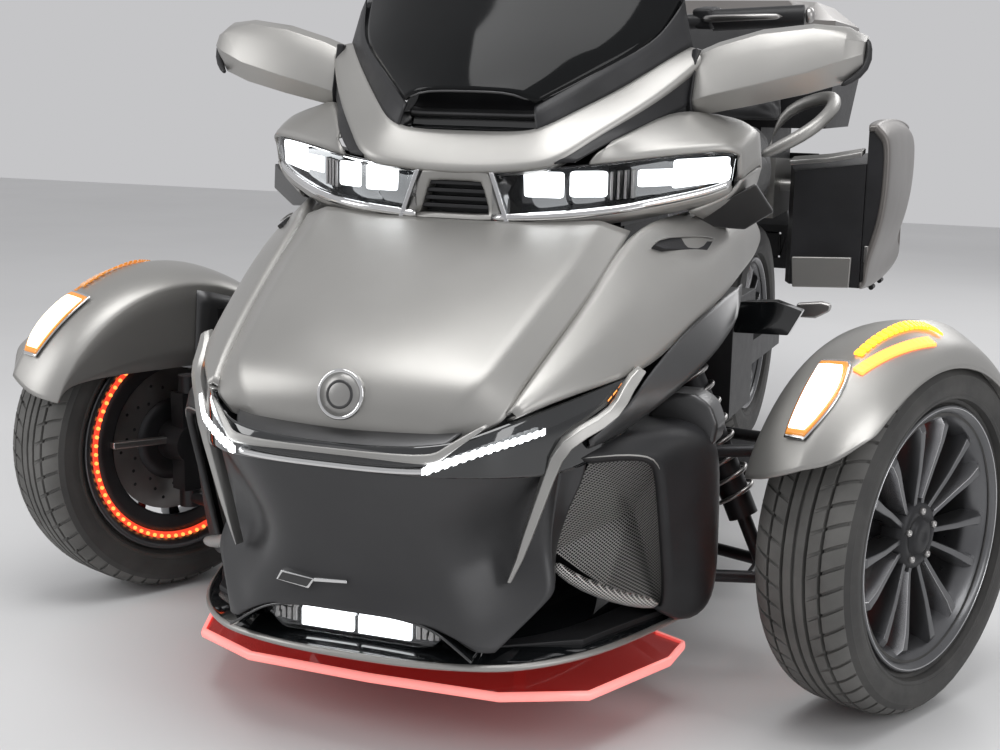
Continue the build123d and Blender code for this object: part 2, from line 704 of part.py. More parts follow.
footboards = both(fuse(box(228, 400, 330, 640, 250, 268), box(engine_half, 230, 420, 560, 225, 262)))
exhaust = cut(pipe([(-130, 660, 250), (-235, 820, 236), (-244, 1120, 242)], 32), engine)
muffler = rod((-242, 1090, 241), (-262, 1560, 290), 62)
muffler_hanger = box(-200, -spine_half, 1180, 1210, 200, 240)
deflectors = both(front_prism([(388, 548), (388, 600), (455, 606), (500, 592), (478, 550)], 116, 142))


def reach(p, q, r, *stops):
    """A rod that starts at p and ends where it meets the first of the solids in its way."""
    start = at(*p)
    return min(cut(rod(p, q, r), *stops), key=lambda piece: (piece.center() - start).length)


case_brackets = [reach((170, y, 720), (300, y, 720), 14, *case_tub) for y in (1500, 1900)]
tail_shell = cut(fuse(*tail_shell, *both(case_brackets)), *case_tub, *mirrored(case_tub))
nose_front = -470.0
nose_beam = box(-70, 70, nose_front, -165, 230, 290)
carriers = [
    reach((300, 88, 590), (430, 88, 700), 9, *side_panels),
    reach((-300, 88, 590), (-430, 88, 700), 9, *side_panels),
    reach((230, -150, 415), (420, -300, 350), 12, *pods),
    reach((-230, -150, 415), (-420, -300, 350), 12, *pods),
    reach((0, -460, 260), (0, -620, 260), 12, *lower_nose),
    reach((60, -400, 262), (60, -400, 400), 12, *tub),
    reach((0, -300, 260), (0, -300, 120), 12, chin),
]
frame = cut(fuse(bulkhead, spine, rear_post, tower, nose_beam, *carriers),
            engine, *inner_fairing, *tail_shell, *side_panels, *pods, *lower_nose, *tub, chin, *side_ducts)
nodes = {
    "frame": frame,
    "engine": [engine],
    "upper_arms": upper_arms,
    "lower_arms": lower_arms,
    "shocks": shocks,
    "hood_lid": [hood_lid],
    "front_tub": tub,
    "side_panels": side_panels,
    "nose_band": mask,
    "lower_nose": lower_nose,
    "nose_blades": blades,
    "side_ducts": side_ducts,
    "lamp_backs": lamp_backs,
    "intake_pods": pods,
    "intake_meshes": mesh,
    "chin_tray": [chin],
    "splitter": splitter,
    "fog_lamp": [fog],
    "headlamps": headlamps,
    "centre_grille": centre_grille,
    "cowl": cowl,
    "lamp_brows": brows,
    "screen": [screen],
    "mirrors": mirrors,
    "dash": [dash],
    "console": console,
    "inner_fairing": inner_fairing,
    "handlebar": handlebar,
    "rider_seat": [rider_seat],
    "pillion_seat": [pillion_seat],
    "backrest": [backrest],
    "tail_shell": tail_shell,
    "left_case": case_tub,
    "left_case_lid": case_lid,
    "right_case": mirrored(case_tub),
    "right_case_lid": mirrored(case_lid),
    "top_case": top_tub,
    "top_case_lid": top_lid,
    "top_rack": top_rack,
    "grab_rails": both(grab),
    "rear_guard": rear_guard,
    "tail_lamps": tail_lamps,
    "swingarm": swingarm,
    "footboards": footboards,
    "exhaust": cut(fuse(*exhaust, muffler, muffler_hanger), *frame),
    "deflectors": deflectors,
    "left_knuckle": steered(shifted(knuckle, wheel_x), 1),
    "right_knuckle": steered(shifted(mirrored(knuckle), -wheel_x), -1),
    "left_fender": steered(shifted(fender_solid, wheel_x), 1),
    "right_fender": steered(shifted(mirrored(fender_solid), -wheel_x), -1),
    "left_tyre": steered(shifted(tyre_front, wheel_x), 1),
    "right_tyre": steered(shifted(mirrored(tyre_front), -wheel_x), -1),
    "left_rim": steered(shifted(rim_front, wheel_x), 1),
    "right_rim": steered(shifted(mirrored(rim_front), -wheel_x), -1),
    "rear_tyre": [tyre_rear],
    "rear_rim": rim_rear,
}

os.makedirs("parts", exist_ok=True)
for name, solids in nodes.items():
    export_step(Compound(solids_of(solids)), f"parts/{name}.step")
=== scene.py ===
import math

import bmesh
import bpy
from mathutils import Matrix, Vector


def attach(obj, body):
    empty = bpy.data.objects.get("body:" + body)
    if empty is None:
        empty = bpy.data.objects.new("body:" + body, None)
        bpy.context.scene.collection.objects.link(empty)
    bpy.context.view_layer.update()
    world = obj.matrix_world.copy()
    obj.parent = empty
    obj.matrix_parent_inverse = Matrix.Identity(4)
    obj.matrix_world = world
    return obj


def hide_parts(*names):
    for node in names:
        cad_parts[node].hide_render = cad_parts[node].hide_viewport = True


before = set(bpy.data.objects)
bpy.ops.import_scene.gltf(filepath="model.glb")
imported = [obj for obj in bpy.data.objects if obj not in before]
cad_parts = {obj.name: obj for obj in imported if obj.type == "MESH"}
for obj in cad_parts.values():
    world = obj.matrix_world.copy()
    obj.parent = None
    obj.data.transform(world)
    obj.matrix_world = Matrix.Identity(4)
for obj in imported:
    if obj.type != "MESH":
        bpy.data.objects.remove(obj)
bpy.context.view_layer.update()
scene = bpy.context.scene

# Places are typed in mm, y measured back from the front axle
AXLE_Y = -0.8015
KINGPIN_X, WHEEL_OUT, AXLE_Z, REAR_Z, WHEELBASE = 602.0, 90.0, 281.0, 303.0, 1714.0
PARKED = math.radians(-23)
SIDES = (("left", 1), ("right", -1))


def spot(p):
    return Vector((p[0] / 1000, p[1] / 1000 + AXLE_Y, p[2] / 1000))


# Finishes
GRAIN_DEPTH, WIRE_TURN, WIRE_SCALE, WIRE_DEPTH = 0.0006, 0.78, 95, 0.002


def finish(name, slot, dark, light, metallic=0.0, rough=(0.4, 0.5), grain=0.0, grain_scale=900.0, patch=6.0,
           coat=0.0, coat_rough=0.1, clear=0.0, ior=1.5, sheen=0.0, glow=None, strength=0.0):
    """A procedural material: two close tones in soft patches, uneven polish and a fine grain."""
    mat = bpy.data.materials.new(name)
    mat.use_nodes = True
    nodes, links = mat.node_tree.nodes, mat.node_tree.links
    shader = nodes["Principled BSDF"]
    coords = nodes.new("ShaderNodeTexCoord")

    def noise(scale, detail):
        made = nodes.new("ShaderNodeTexNoise")
        made.inputs["Scale"].default_value = scale
        made.inputs["Detail"].default_value = detail
        links.new(coords.outputs["Object"], made.inputs["Vector"])
        return made.outputs["Fac"]

    tone = nodes.new("ShaderNodeValToRGB")
    ends = tone.color_ramp.elements
    ends[0].position, ends[1].position = 0.35, 0.65
    ends[0].color, ends[1].color = (*dark, 1), (*light, 1)
    links.new(noise(patch, 4), tone.inputs["Fac"])
    links.new(tone.outputs["Color"], shader.inputs["Base Color"])
    polish = nodes.new("ShaderNodeMapRange")
    polish.inputs["To Min"].default_value, polish.inputs["To Max"].default_value = rough
    links.new(noise(patch * 5, 6), polish.inputs["Value"])
    links.new(polish.outputs["Result"], shader.inputs["Roughness"])
    if grain:
        bump = nodes.new("ShaderNodeBump")
        bump.inputs["Strength"].default_value = grain
        bump.inputs["Distance"].default_value = GRAIN_DEPTH
        links.new(noise(grain_scale, 3), bump.inputs["Height"])
        links.new(bump.outputs["Normal"], shader.inputs["Normal"])
    values = {"Metallic": metallic, "Coat Weight": coat, "Coat Roughness": coat_rough,
              "Transmission Weight": clear, "IOR": ior, "Sheen Weight": sheen}
    if glow:
        values.update({"Emission Color": (*glow, 1), "Emission Strength": strength})
    for socket, value in values.items():
        shader.inputs[socket].default_value = value
    return mat


def glowing(name, slot, dark, light, glow, strength, patch=8, **more):
    """A lens or lamp that gives its own light."""
    return finish(name, slot, dark, light, **{"rough": (0.2, 0.3), "patch": patch, "ior": 1.45, **more},
                  glow=glow, strength=strength)


satin = finish("satin_grey_paint", "satin_grey", (0.36, 0.353, 0.337), (0.4, 0.392, 0.376), 0.75,
               (0.36, 0.44), 0.12, 2600, 3, 0.15, 0.4)
silver = finish("satin_silver", "silver_trim", (0.34, 0.335, 0.325), (0.4, 0.395, 0.38), 0.8, (0.34, 0.42),
                0.1, 2600, 4, 0.1, 0.4)
brown_grey = finish("case_paint", "satin_grey", (0.2, 0.187, 0.178), (0.24, 0.227, 0.216), 0.6, (0.36, 0.44),
                    0.1, 2600, 3, 0.2, 0.35)
dark_satin = finish("dark_satin_band", "dark_plastic", (0.06, 0.06, 0.061), (0.08, 0.08, 0.082), 0.6,
                    (0.3, 0.38), 0.1, 2400, 4, 0.2, 0.3)
plastic = finish("moulded_plastic", "dark_plastic", (0.014, 0.014, 0.015), (0.022, 0.022, 0.024), 0.0,
                 (0.38, 0.5), 0.3, 1500, 9, ior=1.42)
soft_black = finish("dark_satin_nose", "dark_plastic", (0.045, 0.045, 0.047), (0.058, 0.058, 0.06), 0.5,
                    (0.34, 0.42), 0.12, 2400, 4, 0.15, 0.35)
gloss = finish("gloss_black", "gloss_black", (0.006, 0.007, 0.008), (0.01, 0.011, 0.012), 0.0, (0.04, 0.08),
               0.02, 900, 5, 1.0, 0.03)
rubber = finish("tyre_rubber", "tyre_rubber", (0.036, 0.035, 0.034), (0.056, 0.054, 0.051), 0.0, (0.5, 0.68),
                0.3, 1400, 14)
tread = finish("tyre_tread", "tyre_rubber", (0.1, 0.098, 0.093), (0.14, 0.137, 0.13), 0.0, (0.6, 0.75), 0.3,
               1400, 14)
alloy = finish("dark_alloy", "dark_alloy", (0.11, 0.111, 0.116), (0.15, 0.151, 0.156), 0.85, (0.24, 0.34),
               0.08, 2200, 6, 0.2)
bright_alloy = finish("machined_alloy", "dark_alloy", (0.5, 0.5, 0.51), (0.6, 0.6, 0.61), 0.95, (0.2, 0.3),
                      0.05, 2200, 9)
steel = finish("dark_steel", "dark_steel", (0.03, 0.03, 0.032), (0.05, 0.05, 0.053), 0.7, (0.35, 0.5), 0.2,
               900, 8)
bare = finish("bare_steel", "bare_steel", (0.36, 0.35, 0.34), (0.46, 0.45, 0.44), 0.95, (0.25, 0.4), 0.1,
              1100, 12)
glass = finish("clear_lens", "lamp_glass", (0.96, 0.97, 0.98), (0.99, 0.99, 1.0), rough=(0.02, 0.03), patch=4,
               clear=1.0, ior=1.2)
tint = finish("tinted_screen", "tinted_glass", (0.006, 0.0065, 0.007), (0.009, 0.0095, 0.01),
              rough=(0.05, 0.08), patch=4, coat_rough=0.05, clear=0.12, ior=1.25)
acrylic = glowing("red_acrylic", "red_acrylic", (0.72, 0.13, 0.12), (0.78, 0.16, 0.15), (1.0, 0.03, 0.02),
                  0.05, 6, rough=(0.04, 0.07), coat=0.3, coat_rough=0.05, clear=0.92, ior=1.25)
pink_edge = glowing("lit_acrylic_edge", "red_acrylic", (0.9, 0.3, 0.28), (1.0, 0.36, 0.33), (1.0, 0.28, 0.25),
                    0.75, 14)
white_led = glowing("white_led", "lamp_glass", (0.9, 0.92, 0.95), (1.0, 1.0, 1.0), (0.95, 0.98, 1.0), 3.2)
amber_led = glowing("amber_led", "lamp_glass", (1.0, 0.4, 0.02), (1.0, 0.5, 0.05), (1.0, 0.42, 0.02), 2.4)
orange_led = glowing("orange_led", "red_lens", (1.0, 0.3, 0.05), (1.0, 0.36, 0.08), (1.0, 0.3, 0.06), 2.0)
warm_led = glowing("warm_led", "lamp_glass", (1.0, 0.85, 0.6), (1.0, 0.9, 0.7), (1.0, 0.82, 0.5), 2.6)
ring_glow = glowing("ring_glow", "red_lens", (0.7, 0.04, 0.02), (0.8, 0.06, 0.03), (1.0, 0.07, 0.03), 0.9)
amber_lens = glowing("amber_lens", "lamp_glass", (0.8, 0.3, 0.05), (0.9, 0.38, 0.08), (1.0, 0.4, 0.05), 0.25,
                     rough=(0.06, 0.1), coat=0.6, coat_rough=0.03, clear=0.3)
red_lens = finish("red_lens", "red_lens", (0.3, 0.01, 0.01), (0.42, 0.015, 0.015), rough=(0.05, 0.1), patch=8,
                  coat=0.8, coat_rough=0.03, clear=0.3, ior=1.45)
chrome = finish("chrome", "bare_steel", (0.7, 0.7, 0.7), (0.78, 0.78, 0.78), 1.0, (0.06, 0.12))
leather = finish("seat_leather", "seat_leather", (0.018, 0.018, 0.019), (0.03, 0.03, 0.032), 0.0, (0.45, 0.6),
                 0.8, 620, 8, ior=1.45, sheen=0.25)
grip = finish("grip_rubber", "grip_rubber", (0.02, 0.02, 0.02), (0.032, 0.032, 0.032), 0.0, (0.6, 0.75), 0.6,
              800, 9)
mirror_glass = finish("mirror_glass", "bare_steel", (0.75, 0.77, 0.8), (0.8, 0.82, 0.85), 1.0, (0.02, 0.03),
                      patch=4)
stage_floor = finish("pale_floor", None, (0.66, 0.66, 0.66), (0.7, 0.7, 0.7), 0.0, (0.45, 0.6), 0.05, 60, 0.6)


def woven(name, light):
    """Fine wire mesh: two sets of bright bands that cross on black."""
    mat = finish(name, "woven_mesh", (0.012, 0.012, 0.013), (0.02, 0.02, 0.022), 0.6, (0.3, 0.42))
    nodes, links = mat.node_tree.nodes, mat.node_tree.links
    shader = nodes["Principled BSDF"]
    coords = nodes.new("ShaderNodeTexCoord")
    bands = []
    for turn in (WIRE_TURN, -WIRE_TURN):
        turned = nodes.new("ShaderNodeMapping")
        turned.inputs["Rotation"].default_value = (0, turn, 0)
        links.new(coords.outputs["Object"], turned.inputs["Vector"])
        band = nodes.new("ShaderNodeTexWave")
        band.inputs["Scale"].default_value = WIRE_SCALE
        links.new(turned.outputs["Vector"], band.inputs["Vector"])
        bands.append(band)
    cross = nodes.new("ShaderNodeMath")
    cross.operation = "MAXIMUM"
    for i, band in enumerate(bands):
        links.new(band.outputs["Fac"], cross.inputs[i])
    tone = nodes.new("ShaderNodeValToRGB")
    ends = tone.color_ramp.elements
    ends[0].position, ends[1].position = 0.62, 0.95
    ends[0].color, ends[1].color = (0.008, 0.008, 0.009, 1), (light, light * 0.98, light * 0.95, 1)
    links.new(cross.outputs[0], tone.inputs["Fac"])
    links.new(tone.outputs["Color"], shader.inputs["Base Color"])
    bump = nodes.new("ShaderNodeBump")
    bump.inputs["Distance"].default_value = WIRE_DEPTH
    links.new(cross.outputs[0], bump.inputs["Height"])
    links.new(bump.outputs["Normal"], shader.inputs["Normal"])
    return mat


weave = woven("woven_mesh", 0.5)
# The rolled band's brighter copy of the same mesh is painted light: the lower mesh lit, the upper in the
# shadow of the pod's lip.
lit_weave_copy = woven("rolled_mesh_painted_light", 0.85)


# Mesh builders
def mirrored(verts, faces):
    n = len(verts)
    return verts + [(-x, y, z) for x, y, z in verts], faces + [[i + n for i in reversed(f)] for f in faces]


def piece(name, verts, faces, mat, body="chassis", stands_for=(), place=spot, smooth=True, both=False):
    """A visible piece on a body; with both, it and its mirror image across x = 0."""
    if both:
        verts, faces = mirrored(verts, faces)
    mesh = bpy.data.meshes.new(name)
    mesh.from_pydata([place(v) for v in verts], [], faces)
    mesh.materials.append(mat)
    if smooth:
        mesh.shade_smooth()
    made = bpy.data.objects.new(name, mesh)
    scene.collection.objects.link(made)
    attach(made, body)
    if stands_for:
        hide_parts(*stands_for)
    return made


def shifted(row, x=0, y=0, z=0):
    return [(p[0] + x, p[1] + y, p[2] + z) for p in row]


def between(row, other, share):
    """The points at a share of the way from one row to another."""
    return [along_line(a, b, share) for a, b in zip(row, other)]


def along_line(a, b, share):
    return tuple(p + (q - p) * share for p, q in zip(a, b))


def upright(outline, *depths):
    """The same (x, z) outline at each y."""
    return [[(x, y, z) for x, z in outline] for y in depths]


def angles(turns):
    return [2 * math.pi * k / turns for k in range(turns)]


def circle(centre, side, top, radius, turns):
    return [tuple(centre + radius * (math.cos(a) * side + math.sin(a) * top)) for a in angles(turns)]


def spread(row):
    """A whole row from its half on the +X side, which starts at x = 0."""
    return [(-x, y, z) for x, y, z in reversed(row) if x > 0] + list(row)


def quads(rows, wrap=False, caps=False):
    n = len(rows[0])
    verts = [p for row in rows for p in row]
    faces = []
    for i in range(len(rows) - 1):
        for j in range(n if wrap else n - 1):
            k = (j + 1) % n
            faces.append([i * n + j, i * n + k, (i + 1) * n + k, (i + 1) * n + j])
    if caps:
        faces.append(list(range(n))[::-1])
        faces.append([(len(rows) - 1) * n + j for j in range(n)])
    return verts, faces


def crease(made, pairs, value=1.0):
    data = made.data.attributes.new("crease_edge", "FLOAT", "EDGE")
    wanted = {frozenset(p) for p in pairs}
    for edge in made.data.edges:
        if frozenset(edge.vertices) in wanted:
            data.data[edge.index].value = value


def skin(name, rows, mat, thick=4.0, hard_rows=(), hard_cols=(), levels=2, both=False, flip=False, crisp=0.8,
         **more):
    """A smooth shell over rows of points, creased along the named rows and columns."""
    verts, faces = quads(rows)
    if flip:
        faces = [f[::-1] for f in faces]
    n = len(rows[0])
    made = piece(name, verts, faces, mat, both=both, **more)
    edges = []
    for start in (0, len(verts)) if both else (0,):
        edges += [(start + i * n + j, start + i * n + j + 1) for i in hard_rows for j in range(n - 1)]
        edges += [(start + i * n + j, start + (i + 1) * n + j) for j in hard_cols
                  for i in range(len(rows) - 1)]
    if edges:
        crease(made, edges, crisp)
    if levels:
        sub = made.modifiers.new("smooth", "SUBSURF")
        sub.levels = sub.render_levels = levels
        sub.boundary_smooth = "PRESERVE_CORNERS"
    if thick:
        wall = made.modifiers.new("wall", "SOLIDIFY")
        wall.thickness, wall.offset = thick / 1000, -1
        wall.use_even_offset = False
    return made


def rounded(made, width, segments=2, angle=32):
    bevel = made.modifiers.new("edges", "BEVEL")
    bevel.width, bevel.segments, bevel.limit_method = width / 1000, segments, "ANGLE"
    bevel.angle_limit = math.radians(angle)
    bevel.use_clamp_overlap = True
    made.modifiers.new("shade", "WEIGHTED_NORMAL")
    return made


def face_outward(made):
    mesh = bmesh.new()
    mesh.from_mesh(made.data)
    bmesh.ops.recalc_face_normals(mesh, faces=mesh.faces)
    mesh.to_mesh(made.data)
    mesh.free()


def block(name, rings, mat, width=2.0, **more):
    """A closed loft through rings, with softened edges."""
    made = piece(name, *quads(rings, wrap=True, caps=True), mat, **more)
    face_outward(made)
    return rounded(made, width)


def tube_rows(path, radius, sides=12):
    """Rings of points along a path; radius may be one number or one per point."""
    radii = radius if isinstance(radius, (list, tuple)) else [radius] * len(path)
    points = [Vector(p) for p in path]
    rows, up = [], Vector((0, 0, 1))
    for i, p in enumerate(points):
        ahead = (points[min(i + 1, len(points) - 1)] - points[max(i - 1, 0)]).normalized()
        if abs(ahead.dot(up)) > 0.95:
            up = Vector((1, 0, 0))
        side = ahead.cross(up).normalized()
        top = side.cross(ahead)
        rows.append(circle(p, side, top, radii[i], sides))
    return rows


def tube(name, path, radius, mat, sides=12, levels=1, **more):
    made = piece(name, *quads(tube_rows(path, radius, sides), wrap=True, caps=True), mat, **more)
    sub = made.modifiers.new("smooth", "SUBSURF")
    sub.levels = sub.render_levels = levels
    return made


def boxes(name, table, mat, width=1.0, **more):
    """Several small blocks in one piece, each by its x, y and z spans."""
    verts, faces = [], []
    for x0, x1, y0, y1, z0, z1 in table:
        n = len(verts)
        verts += [(x, y, z) for z in (z0, z1) for x, y in ((x0, y0), (x1, y0), (x1, y1), (x0, y1))]
        faces += [[n + i for i in f] for f in ((3, 2, 1, 0), (4, 5, 6, 7), (0, 1, 5, 4), (1, 2, 6, 5),
                                               (2, 3, 7, 6), (3, 0, 4, 7))]
    return rounded(piece(name, verts, faces, mat, **more), width)


def studs(name, places, radius, height, mat, **more):
    """Round-headed fasteners: each place is a point and an outward direction."""
    verts, faces = [], []
    for p, ahead in places:
        p, ahead = Vector(p), Vector(ahead).normalized()
        side = ahead.orthogonal().normalized()
        top = ahead.cross(side)
        n, sides = len(verts), 12
        for r, h in ((1.0, 0.0), (1.0, 0.7), (0.8, 1.0), (0.5, 1.0), (0.45, 0.5)):
            verts += circle(p + ahead * h * height, side, top, radius * r, sides)
        for row in range(4):
            faces += [[n + row * sides + k, n + row * sides + (k + 1) % sides,
                       n + (row + 1) * sides + (k + 1) % sides,
                       n + (row + 1) * sides + k] for k in range(sides)]
        faces.append([n + 4 * sides + k for k in range(sides)])
    return piece(name, verts, faces, mat, **more)


def disc(name, centre, normal, profile, mat, turns=40, **more):
    """A lathed disc about a direction: the profile is (radius, height)."""
    centre, axis = Vector(centre), Vector(normal).normalized()
    side = axis.orthogonal().normalized()
    top = axis.cross(side)
    rows = [circle(centre + axis * h, side, top, r, turns) for r, h in profile]
    return piece(name, *quads(rows, wrap=True, caps=True), mat, **more)


CELL_FACES = ((0, 1, 2, 3), (7, 6, 5, 4), (0, 4, 5, 1), (1, 5, 6, 2), (2, 6, 7, 3), (3, 7, 4, 0))


def at_share(path, share):
    """The point at a share of a polyline's length."""
    spans = [math.dist(a, b) for a, b in zip(path, path[1:])]
    left = share * sum(spans)
    for i, span in enumerate(spans):
        if left <= span or i == len(spans) - 1:
            return along_line(path[i], path[i + 1], min(1.0, left / span))
        left -= span


def lit_strip(name, path, half, teeth, mat, gap=0.12):
    """Lit teeth along a path, every second one shorter; half is the half height at each end."""
    verts, faces = [], []
    for k in range(teeth):
        (x0, y0, z0), (x1, y1, z1) = at_share(path, (k + gap) / teeth), at_share(path, (k + 1 - gap) / teeth)
        h = (half[0] + (half[1] - half[0]) * k / teeth) * (1 if k % 2 else 0.72)
        corners = [(x0, y0, z0 - h), (x1, y1, z1 - h), (x1, y1, z1 + h), (x0, y0, z0 + h)]
        n = len(verts)
        verts += corners + shifted(corners, -1, 7)
        faces += [[n + i for i in f] for f in CELL_FACES]
    return rounded(piece(name, verts, faces, mat, both=True), 0.6, 1)


WELD_GAP = 0.00002


def dress(node, mat, width=1.5):
    """A CAD node that stays: its finish and softened edges."""
    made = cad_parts[node]
    made.data.materials.clear()
    made.data.materials.append(mat)
    weld = made.modifiers.new("weld", "WELD")
    weld.merge_threshold = WELD_GAP
    if width:
        rounded(made, width)


# Camera and light
CAMERA_PLACE, CAMERA_TURN, LENS, SENSOR = (922, -2429, 942), (0.358, 0.183, 0.023), 55.66, 36


def camera():
    yaw, pitch, roll = CAMERA_TURN
    ahead = Vector((-math.sin(yaw) * math.cos(pitch), math.cos(yaw) * math.cos(pitch), -math.sin(pitch)))
    right = Vector((math.cos(yaw), math.sin(yaw), 0))
    up = right.cross(ahead)
    right, up = (math.cos(roll) * right + math.sin(roll) * up, -math.sin(roll) * right + math.cos(roll) * up)
    data = bpy.data.cameras.new("photo_view")
    data.sensor_width, data.lens = SENSOR, LENS
    made = bpy.data.objects.new("photo_view", data)
    scene.collection.objects.link(made)
    turn = Matrix((right, up, -ahead)).transposed()
    made.matrix_world = Matrix.Translation(spot(CAMERA_PLACE)) @ turn.to_4x4()
    scene.camera = made


def lamp(name, place, aim, size, power, colour=(1, 1, 1)):
    data = bpy.data.lights.new(name, "AREA")
    data.shape, data.size, data.size_y, data.energy, data.color = "RECTANGLE", size[0], size[1], power, colour
    made = bpy.data.objects.new(name, data)
    made.location = place
    made.rotation_euler = (Vector(aim) - Vector(place)).to_track_quat("-Z", "Y").to_euler()
    scene.collection.objects.link(made)


camera()
lamp("overhead_softbox", (0.2, -1.4, 3.6), (0, -0.6, 0.5), (2.6, 1.6), 62)
lamp("left_softbox", (-3.4, -3.0, 2.4), (0, -0.6, 0.6), (1.6, 2.2), 44)
lamp("right_softbox", (3.6, -2.2, 1.8), (0.4, -0.6, 0.5), (0.9, 2.4), 26)
lamp("rear_softbox", (1.5, 4.0, 3.2), (0, 0.4, 0.8), (3.0, 1.6), 60)
world = bpy.data.worlds.new("studio")
scene.world = world
world.use_nodes = True
sky = world.node_tree.nodes["Background"]
sky.inputs["Color"].default_value = (0.9, 0.9, 0.92, 1)
sky.inputs["Strength"].default_value = 0.62
floor_mesh = bpy.data.meshes.new("floor")
floor_mesh.from_pydata([(-9, -9, 0), (9, -9, 0), (9, 9, 0), (-9, 9, 0)], [], [(0, 1, 2, 3)])
floor_mesh.materials.append(stage_floor)
floor = bpy.data.objects.new("floor", floor_mesh)
scene.collection.objects.link(floor)
scene.view_settings.view_transform = "Standard"

# Hood: half rows from the centre out, low edge first
hood_rows = [
    [(0, -577, 468), (75, -575, 470), (130, -570, 473), (184, -554, 483)],
    [(0, -584, 500), (80, -580, 502), (148, -569, 502), (203, -545, 494)],
    [(0, -582, 530), (86, -576, 530), (166, -558, 527), (224, -533, 507)],
    [(0, -560, 564), (92, -553, 563), (184, -536, 557), (229, -500, 538)],
    [(0, -506, 604), (99, -500, 603), (196, -480, 588), (236, -458, 560)],
    [(0, -400, 656), (106, -396, 654), (210, -386, 640), (248, -396, 598)],
    [(0, -280, 709), (114, -278, 708), (226, -278, 696), (268, -281, 660)],
    [(0, -194, 740), (118, -193, 741), (232, -164, 748), (276, -148, 733)]]
skin("hood_skin", [spread(r) for r in hood_rows], satin, 6, hard_rows=(0, 7), hard_cols=(0, 1, 5, 6),
     levels=3, crisp=0.7, body="hood", stands_for=("hood_lid",))
for name, profile, mat in (
        ("hood_badge", [(35, -6), (35, 1.5), (33.5, 3), (31, 3), (30, 2)], chrome),
        ("hood_badge_face", [(30.5, -4), (30.5, 2.2), (18, 2.6), (16.5, 3.4), (5, 4), (0.5, 4)], silver),
        ("hood_badge_ring", [(20, 0), (20, 3.2), (18.5, 4), (17, 4), (15.5, 3.2), (15.5, 0)], dark_satin)):
    disc(name, (0, -580, 530), (0, -1, 0.2), profile, mat, body="hood")

# Side panels: (y, top x, z, shoulder x, z, crease x, z)
panel_rows = []
for y, xt, zt, xs, zs, xl, zl in [(-528, 229, 516, 231, 514, 233, 512), (-480, 241, 551, 256, 545, 270, 529),
                                  (-400, 255, 597, 290, 580, 318, 545), (-300, 270, 650, 322, 620, 356, 552),
                                  (-160, 282, 735, 350, 680, 383, 603), (-60, 318, 751, 374, 698, 403, 631),
                                  (80, 366, 762, 394, 716, 402, 660), (190, 372, 760, 396, 716, 398, 672),
                                  (270, 352, 765, 384, 716, 390, 690)]:
    panel_rows.append([(xt - 10, y + 4, zt - 8), (xt, y, zt), ((xt + xs) / 2, y, (zt + zs) / 2 + 1),
                       (xs, y, zs), ((xs + xl) / 2 + 3, y, (zs + zl) / 2), (xl, y, zl),
                       (xl - 14, y + 6, zl - 6)])
skin("side_panel_skins", panel_rows, satin, 4, hard_cols=(1, 5), both=True, flip=True,
     stands_for=("side_panels",))
# The flanks are the side panels' own paint turned downward; their dark satin is painted shade, not a darker
# finish.
flank_top = [(307, -432, 467), (330, -405, 490), (348, -372, 513), (356, -300, 547), (383, -178, 600),
             (403, -58, 628), (407, 62, 636)]
flank_low = [(306, -428, 457), (329, -390, 465), (352, -350, 484), (374, -305, 501), (401, -240, 531),
             (422, -170, 561), (431, -70, 600)]
skin("panel_flanks_painted_shade", [flank_top, shifted(between(flank_top, flank_low, 0.5), 3, -3), flank_low,
                      shifted(flank_low, -16, 14, -4)], dark_satin, 3, hard_rows=(2,), both=True, crisp=0.6)
slot_ring = [(315, -164, 712), (319, -132, 720), (364, -24, 716), (373, -14, 709), (372, -51, 698),
             (328, -152, 706)]
block("panel_vents", [shifted(slot_ring, k * 0.6, -k * 0.25, k * 0.75) for k in (5, -8)], plastic, 1.5,
      both=True)
tube("panel_vent_rims", shifted(slot_ring[:4], 4, -2, 6), 1.8, silver, both=True, sides=6)
fin_ring = [(330, -20, 744), (347, -30, 751), (431, 20, 803), (455, 60, 757), (411, 50, 727), (343, -10, 734)]
block("panel_fins", [shifted(fin_ring, -k * 0.2, k) for k in (0, 26)], dark_satin, 3, both=True)

# Nose band: (x, y, z low, z top), with the lit strips and the satin inner strip
band_half = [(0, -608, 436, 466), (70, -607, 436, 467), (137, -602, 436, 474), (180, -580, 434, 482),
             (218, -546, 430, 500), (252, -496, 424, 512), (286, -446, 424, 526), (316, -396, 440, 538),
             (338, -352, 470, 545)]
skin("nose_band_skin", [spread([(x, y + bow, z0 + (z1 - z0) * up) for x, y, z0, z1 in band_half])
                        for up, bow in ((0, 0), (0.25, -2), (0.6, -3), (1, 6))], gloss, 5, hard_rows=(0, 3),
     flip=True, stands_for=("nose_band",))
skin("nose_satin_strip", [spread(row) for row in (
    [(0, -614, 447), (70, -613, 447), (128, -608, 449), (140, -604, 450)],
    [(0, -612, 458), (70, -611, 458), (130, -606, 461), (146, -598, 464)],
    [(0, -598, 472), (70, -597, 473), (136, -588, 477), (166, -572, 482)],
    [(0, -576, 480), (70, -574, 482), (140, -562, 486), (172, -548, 490)])], dark_satin, 3,
     hard_rows=(0, 1, 3), flip=True, crisp=0.7)
skin("nose_rim_highlight_line", [spread(row) for row in (
    [(0, -616, 455), (70, -615, 455), (153, -612, 452), (162, -604, 462), (184, -588, 482), (210, -563, 503)],
    [(0, -614, 463), (70, -613, 463), (148, -608, 465), (159, -600, 475), (178, -585, 488),
     (206, -564, 505)])], silver, 2, flip=True)
line_half = [(0, -617, 438), (70, -616, 438), (120, -613, 440), (139, -611, 442)]
skin("nose_bright_line", [spread(shifted(line_half, 0, *by)) for by in ((3, -1), (0, 0), (0, 4), (4, 5))],
     chrome, 2, flip=True)
led_path = [(141, -626, 447), (170, -612, 458), (197, -593, 468), (222, -570, 476), (245, -538, 482),
            (268, -504, 489)]
lit_strip("nose_leds", led_path, (6.5, 4.5), 30, white_led, 0.02)
